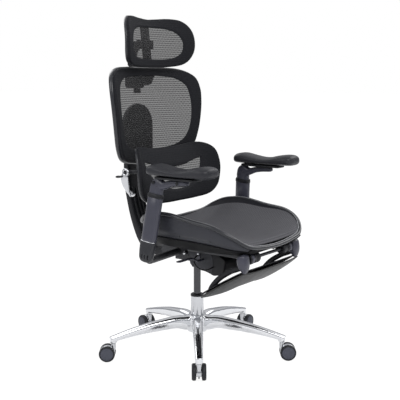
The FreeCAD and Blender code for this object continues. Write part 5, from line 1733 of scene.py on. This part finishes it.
@dataclass
class Armrest:
    """One adjustable armrest: bracket cup, sleeve, rising stem, button, slide plate and soft pad."""

    side: Side
    post_x: float = 0.300
    lean: float = 6.2
    splay: float = 6.9
    foot: tuple[float, float] = (-0.007, 0.489)
    length: float = 0.168
    wide: float = 0.032
    thick: float = 0.017
    pad_x: float = 0.274
    pad_z: float = 0.742
    pad_length: float = 0.278
    pad_half: float = 0.048
    pad_power: float = 2.9
    crown: float = 0.0022
    # Share of the pad's length, half width share, top and bottom above pad_z, mm.
    pad: tuple[tuple[float, float, float, float], ...] = (
        (0.000, 0.30, 9.0, 2.0), (0.008, 0.52, 17.0, -4.0), (0.030, 0.78, 24.0, -7.5),
        (0.080, 0.93, 28.5, -9.0), (0.160, 0.98, 29.5, -9.0), (0.300, 0.97, 22.5, -9.0),
        (0.460, 0.96, 16.5, -9.0), (0.600, 0.98, 18.5, -9.0), (0.740, 1.00, 27.0, -9.0),
        (0.860, 1.00, 31.5, -9.0), (0.940, 0.92, 30.5, -8.0), (0.980, 0.74, 25.0, -4.5),
        (0.996, 0.50, 17.0, 2.5), (1.000, 0.34, 12.0, 6.0),
    )

    def post(self) -> tuple[Array, Array, Array]:
        """The post's foot, its direction upwards, and the direction of its thickness.

        Returns:
            The foot, the direction upwards and the direction of the thickness.
        """
        s = self.side.value
        lean, splay = math.radians(self.lean), math.radians(-s * self.splay)
        up = np.array([0.0, -math.sin(lean), math.cos(lean)])
        up = np.array([up[2] * math.sin(splay), up[1], up[2] * math.cos(splay)])
        side = np.array([math.cos(splay), 0.0, -math.sin(splay)])
        return np.array([s * self.post_x, *self.foot]), up, side

    def along_post(self, stations: Sequence[tuple[float, float, float]], power: float, count: int = 36,
                   rows: int = 60) -> Grid:
        """A bar along the post from (height, half thickness, half width) stations.

        Args:
            stations: The stations in order.
            power: The superellipse's power.
            count: Points round each row.
            rows: Rows along the bar.

        Returns:
            The bar's grid.
        """
        foot, up, side = self.post()
        line = [[*(foot + up * h), thick, wide] for h, thick, wide in stations]
        return lofted(line, power, count, rows, side)

    def sleeve(self) -> Piece:
        """The sleeve's tube with an open, rounded mouth.

        Returns:
            The new piece.
        """
        t, w, end = self.thick, self.wide, self.length
        outer = [(0.000, t - 0.0012, w - 0.0012), (0.002, t, w), (0.02, t, w), (end - 0.04, t, w),
                 (end - 0.002, t, w), (end - 0.0002, t - 0.0008, w - 0.0008), (end, t - 0.002, w - 0.002),
                 (end - 0.003, t - 0.003, w - 0.003), (end - 0.03, t - 0.003, w - 0.003)]
        foot, up, side = self.post()
        across = np.cross(up, side)
        ring = rounded_section(1.0, 1.0, 2.25, 40)
        heights = np.array(outer)
        points = (foot + heights[:, None, :1] * up + ring[None, :, :1] * heights[:, None, 1:2] * side
                  + ring[None, :, 1:] * heights[:, None, 2:] * across)
        return make_piece(f"arm_sleeve_tube_{self.side.word}", [Grid(points)])

    def cup(self) -> Piece:
        """The cup of the casting that holds the sleeve's foot, with slots in its round end.

        Returns:
            The new piece.
        """
        stations = [(-0.072, 0.006, 0.010), (-0.068, 0.014, 0.019), (-0.058, 0.0185, 0.026),
                    (-0.042, 0.0195, 0.030), (-0.020, 0.0190, 0.0325), (-0.004, 0.0182, 0.0336),
                    (0.0025, 0.0182, 0.0336), (0.0040, 0.0176, 0.0328)]
        cup = make_piece(f"arm_cup_{self.side.word}", [self.along_post(stations, 2.6, 40, 50)])
        foot, up, side = self.post()
        across = np.cross(up, side)
        slots = []
        for at in (-0.018, -0.006, 0.006, 0.018):
            low = foot - up * 0.052 + across * at + side * self.side.value * 0.015
            slots.append(lofted([[*(low - up * 0.006), 0.009, 0.0022], [*(low + up * 0.010), 0.009, 0.0022]],
                                3.0, 12, 3, side))
        tool = make_piece("slot_tool", slots)
        finish_with(cup, "BOOLEAN", object=tool, operation="DIFFERENCE", solver="EXACT")
        cup = applied(cup)
        bpy.data.objects.remove(tool)
        return cup

    def stem(self) -> Piece:
        """The stem out of the sleeve, which turns forward and up into the arm below the pad.

        Returns:
            The new piece.
        """
        foot, up, side = self.post()
        t, w = self.thick - 0.0042, self.wide - 0.0042
        top = self.pad_z - 0.0215
        x = self.side.value * self.pad_x
        heights = (0.060, self.length, self.length + 0.018, self.length + 0.030)
        route = [[*(foot + up * h), t, w] for h in heights]
        knee = foot + up * (self.length + 0.046)
        route.append([*(knee + [0, -0.004, 0]), 0.0135, 0.0245])
        reach = [(0.030, 0.0230, 0.0136, 0.0150), (0.060, 0.0145, 0.0132, 0.0115),
                 (0.090, 0.0105, 0.0130, 0.0098), (0.116, 0.0092, 0.0128, 0.0090),
                 (0.134, 0.0088, 0.0105, 0.0078), (0.139, 0.0086, 0.005, 0.004)]
        route += [[x, knee[1] - ahead, top - down, half, high] for ahead, down, half, high in reach]
        return make_piece(f"arm_stem_{self.side.word}", [lofted(route, 3.0, 32, 120, side)])

    def trim(self) -> Piece:
        """The dark collar at the sleeve's mouth and the boss of the arm's screw.

        Returns:
            The new piece.
        """
        t, w, end = self.thick, self.wide, self.length
        rows = [(end - 0.004, t - 0.001, w - 0.001), (end - 0.002, t + 0.0006, w + 0.0006),
                (end + 0.006, t + 0.0006, w + 0.0006), (end + 0.0105, t - 0.0004, w - 0.0006),
                (end + 0.0115, t - 0.0025, w - 0.003)]
        collar = self.along_post(rows, 2.7, 40, 20)
        centre = (self.side.value * (self.pad_x + 0.0095), -0.128, self.pad_z - 0.031)
        screw = drum(0.0072, 0.0, 0.0048, 0.0012, centre, (self.side.value, 0, 0), 24)
        return make_piece(f"arm_trim_{self.side.word}", [collar, screw])

    def plate(self) -> Piece:
        """The slide plate under the pad.

        Returns:
            The new piece.
        """
        x, z = self.side.value * self.pad_x, self.pad_z - 0.0158
        rows = [(-0.034, 0.018, 0.0035), (-0.037, 0.026, 0.0046), (-0.046, 0.0305, 0.0048),
                (-0.080, 0.032, 0.0048), (-0.160, 0.032, 0.0048), (-0.200, 0.0305, 0.0048),
                (-0.209, 0.026, 0.0046), (-0.2115, 0.018, 0.0035)]
        stations = [(x, y, z, wide, high) for y, wide, high in rows]
        return make_piece(f"pad_slide_plate_{self.side.word}", [lofted(stations, 5.0, 36, 50, ACROSS)])

    def soft_pad(self) -> Piece:
        """The soft pad: a saddle with raised ends.

        Each row is a superellipse between the row's top and bottom, with a crown across it.

        Returns:
            The new piece.
        """
        line = smooth_curve(self.pad, 110)
        y = -line[:, 0].clip(0, 1) * self.pad_length
        half = self.pad_half * line[:, 1]
        top, bottom = line[:, 2] / 1000, line[:, 3] / 1000
        ring = rounded_section(1.0, 1.0, self.pad_power, 48)
        x = self.side.value * self.pad_x + ring[None, :, 0] * half[:, None]
        middle, rise = (top + bottom)[:, None] / 2, (top - bottom)[:, None] / 2
        crown = self.crown * (1 - ring[None, :, 0] ** 2) * (ring[None, :, 1] > 0)
        z = self.pad_z + middle + ring[None, :, 1] * rise + crown
        points = np.stack([x, np.broadcast_to(y[:, None], x.shape), z], axis=-1)
        return make_piece(f"arm_pad_skin_{self.side.word}", [Grid(points)])

    def build(self, shop: Workshop) -> None:
        """Places the armrest's pieces.

        Args:
            shop: The workshop that places and dresses the pieces.
        """
        n = self.side.word
        shop.put(self.sleeve(), "recliner", "lavender", f"arm_sleeve_{n}")
        shop.put(self.cup(), "recliner", "cup")
        rows = [(0.0036, 0.0176, 0.0326), (0.0044, 0.0183, 0.0336), (0.0060, 0.0183, 0.0336),
                (0.0068, 0.0174, 0.0324)]
        ring = make_piece(f"arm_ring_{n}", [self.along_post(rows, 2.6, 40, 12)])
        shop.put(ring, "recliner", "chrome")
        shop.put(self.stem(), f"arm_{n}", "lavender", f"arm_stem_{n}")
        shop.put(self.trim(), f"arm_{n}", "black_plastic")
        shop.dress("black_plastic", f"arm_button_{n}")
        shop.put(self.plate(), f"pad_slide_{n}", "black_plastic", f"pad_base_{n}")
        pad = shop.put(self.soft_pad(), f"pad_{n}", "skin", f"arm_pad_{n}")


@dataclass
class Studio:
    """The pale floor, the soft lights and the camera at the photograph's angle."""

    eye: tuple[float, float, float] = (-2.440, -1.838, 1.071)
    look_azimuth: float = 36.785
    look_down: float = 8.635
    focal_pixels: float = 797.8
    frame_pixels: float = 400.0
    sensor: float = 36.0
    sight: float = 120.0
    floor_half: float = 50.0
    # How bright the floor's plain white is, and its share of what the camera sees.
    floor_glow: float = 1.08
    floor_white: float = 0.88
    sky_strength: float = 0.72
    # Place, target, width, height, power in watts.
    lamps: tuple[tuple[Sequence[float], Sequence[float], float, float, float], ...] = (
        ((-1.6, -2.6, 2.9), (0.0, 0.0, 0.6), 2.4, 1.6, 62.0),
        ((-3.0, 1.4, 2.2), (0.0, 0.0, 0.7), 1.6, 1.6, 26.0),
        ((2.4, -1.0, 2.6), (0.0, 0.0, 0.6), 2.0, 1.6, 30.0),
        ((0.6, 2.8, 2.8), (0.0, 0.0, 0.7), 2.2, 1.4, 26.0),
    )

    def floor(self) -> None:
        """A plain pale floor: mostly plain white to the camera, and lit for the rest, for the shadow."""
        side = np.array([-self.floor_half, self.floor_half])
        x, y = np.meshgrid(side, side, indexing="ij")
        points = np.stack([x, y, np.full_like(x, -0.0004)], axis=-1)
        piece = make_piece("studio_floor", [Grid(points, columns_join=False, caps=False)], smooth=False)
        t = Tree("pale_floor")
        t.finish(Base_Color=(0.94, 0.94, 0.94, 1.0), Roughness=0.9)
        plain = t.add("ShaderNodeEmission")
        plain.inputs["Strength"].default_value = self.floor_glow
        share = t.add("ShaderNodeMixShader")
        ray = t.add("ShaderNodeLightPath").outputs["Is Camera Ray"]
        t.feed(share.inputs[0], t.math("MULTIPLY", ray, self.floor_white))
        t.links.new(t.shader.outputs[0], share.inputs[1])
        t.links.new(plain.outputs[0], share.inputs[2])
        t.links.new(share.outputs[0], t.output.inputs["Surface"])
        piece.data.materials.append(t.material)

    def sky(self) -> None:
        """A soft world that is white to the camera, and darker at the horizon in reflections."""
        world = bpy.data.worlds.new("studio_world")
        bpy.context.scene.world = world
        world.use_nodes = True
        nodes, links = world.node_tree.nodes, world.node_tree.links
        nodes.clear()
        spot = nodes.new("ShaderNodeTexCoord")
        split = nodes.new("ShaderNodeSeparateXYZ")
        ramp = nodes.new("ShaderNodeValToRGB")
        ramp.color_ramp.elements[0].position = 0.0
        ramp.color_ramp.elements[0].color = (0.30, 0.31, 0.34, 1.0)
        ramp.color_ramp.elements[1].position = 0.55
        ramp.color_ramp.elements[1].color = (0.98, 0.98, 1.0, 1.0)
        soft = nodes.new("ShaderNodeBackground")
        white = nodes.new("ShaderNodeBackground")
        soft.inputs["Strength"].default_value = self.sky_strength
        white.inputs["Color"].default_value = (1.0, 1.0, 1.0, 1.0)
        ray = nodes.new("ShaderNodeLightPath")
        share = nodes.new("ShaderNodeMixShader")
        out = nodes.new("ShaderNodeOutputWorld")
        links.new(spot.outputs["Generated"], split.inputs[0])
        links.new(split.outputs[2], ramp.inputs[0])
        links.new(ramp.outputs[0], soft.inputs["Color"])
        links.new(ray.outputs["Is Camera Ray"], share.inputs[0])
        links.new(soft.outputs[0], share.inputs[1])
        links.new(white.outputs[0], share.inputs[2])
        links.new(share.outputs[0], out.inputs["Surface"])

    def light(self) -> None:
        """Large square lamps, each turned to its target."""
        for i, (place, target, width, height, power) in enumerate(self.lamps):
            lamp = bpy.data.lights.new(f"softbox_{i + 1}", "AREA")
            lamp.shape = "RECTANGLE"
            lamp.size, lamp.size_y, lamp.energy = width, height, power
            holder = bpy.data.objects.new(lamp.name, lamp)
            holder.location = place
            holder.rotation_euler = (Vector(target) - Vector(place)).to_track_quat("-Z", "Y").to_euler()
            bpy.context.scene.collection.objects.link(holder)

    def camera(self) -> None:
        """A lens of focal length in pixels over frame width, times the sensor's width."""
        view = bpy.data.cameras.new("photo_camera")
        view.sensor_width = self.sensor
        view.lens = self.focal_pixels / self.frame_pixels * self.sensor
        view.clip_end = self.sight
        holder = bpy.data.objects.new("photo_camera", view)
        holder.location = self.eye
        tilt, turn = 90.0 - self.look_down, self.look_azimuth - 90.0
        holder.rotation_euler = (math.radians(tilt), 0.0, math.radians(turn))
        bpy.context.scene.collection.objects.link(holder)
        bpy.context.scene.camera = holder

    def build(self) -> None:
        """Sets the stage."""
        bpy.context.scene.view_settings.view_transform = "Standard"
        self.camera()
        self.floor()
        self.sky()
        self.light()


def stock_finishes(shop: Workshop) -> None:
    """Every finish of the chair, with the record's slot that it stands for.

    Args:
        shop: The workshop that places and dresses the pieces.
    """
    plastics = (
        ("black_plastic", "black_plastic", MouldedPlastic("black_plastic", (0.009, 0.0095, 0.012), 0.42)),
        # A darker, duller copy of the black plastic for the tray: painted shade under the seat.
        ("tray", "black_plastic", MouldedPlastic("tray_black", (0.004, 0.004, 0.005), 0.62, shine=0.08)),
        ("rim_plastic", "rim_plastic",
         MouldedPlastic("rim_plastic", (0.018, 0.019, 0.023), 0.3, coat=0.35)),
        ("wheel_black", "wheel_plastic", MouldedPlastic("tyre_rubber", (0.016, 0.017, 0.02), 0.5)),
        ("wheel_slate", "wheel_plastic", MouldedPlastic("wheel_disc", (0.062, 0.066, 0.085), 0.4)),
        ("cover_grey", "grey_plastic", MouldedPlastic("cover_grey", (0.040, 0.041, 0.048), 0.5)),
        ("lavender", "grey_plastic",
         MouldedPlastic("lavender_grey", (0.046, 0.047, 0.064), 0.36, coat=0.25)),
        ("panel", "grey_plastic", MouldedPlastic("footrest_grey", (0.022, 0.0225, 0.022), 0.46)),
        # Pale colour of the rim's bead: a painted highlight along the seat's rim.
        ("piping", "rim_plastic", MouldedPlastic("pale_piping", (0.30, 0.305, 0.32), 0.3)),
        ("shell", "rim_plastic",
         MouldedPlastic("seat_shell_plastic", (0.026, 0.027, 0.034), 0.44, coat=0.1)),
        ("cup", "cast_metal", MouldedPlastic("cup_grey", (0.022, 0.023, 0.027), 0.4, coat=0.1)),
        ("jacket", "cable_jacket", MouldedPlastic("cable_jacket", (0.012, 0.012, 0.013), 0.35)),
    )
    metals = (
        ("aluminium", "polished_aluminium",
         PolishedMetal("polished_aluminium", (0.80, 0.81, 0.83), 0.13)),
        ("chrome", "chrome", PolishedMetal("bright_chrome", (0.60, 0.61, 0.63), 0.10)),
        ("piston", "black_steel",
         PolishedMetal("black_piston", (0.075, 0.075, 0.08), 0.2, (60.0, 60.0, 900.0))),
        ("steel", "black_steel", CoatedSteel("black_steel", (0.022, 0.023, 0.027))),
        ("cast", "cast_metal", CoatedSteel("cast_tray", (0.035, 0.036, 0.04), 0.5)),
    )
    back_net = StretchedNet("back_net", light=(0.050, 0.050, 0.051), dark=(0.020, 0.020, 0.021), rib=120.0,
                            stitch=68.0, open_share=0.46, edge=(0.012, 0.0125, 0.015))
    seat_net = StretchedNet("seat_net", light=(0.120, 0.120, 0.130), dark=(0.060, 0.060, 0.066),
                            rib=150.0, stitch=90.0, open_share=0.03, edge=(0.014, 0.0145, 0.018))
    soft = (
        ("skin", "pad_skin", SoftSkin("pad_skin", (0.022, 0.0225, 0.027), 0.38)),
        ("net", "mesh_fabric", back_net),
        ("seat_net", "mesh_fabric", seat_net),
    )
    for key, slot, recipe in metals + plastics + soft:
        shop.stock(key, slot, recipe)


def main() -> None:
    """Builds the stage and each sub-assembly in turn."""
    logging.basicConfig(level=logging.INFO, format="%(name)s: %(message)s")
    Studio().build()
    shop = Workshop(frame)
    stock_finishes(shop)
    control_cable(shop)
    for assembly in (StarBase(), Mechanism(), SaddleSeat(), Footrest(), Backrest(),
                     Armrest(Side.RIGHT), Armrest(Side.LEFT)):
        assembly.build(shop)


if __name__ == "__main__":
    main()
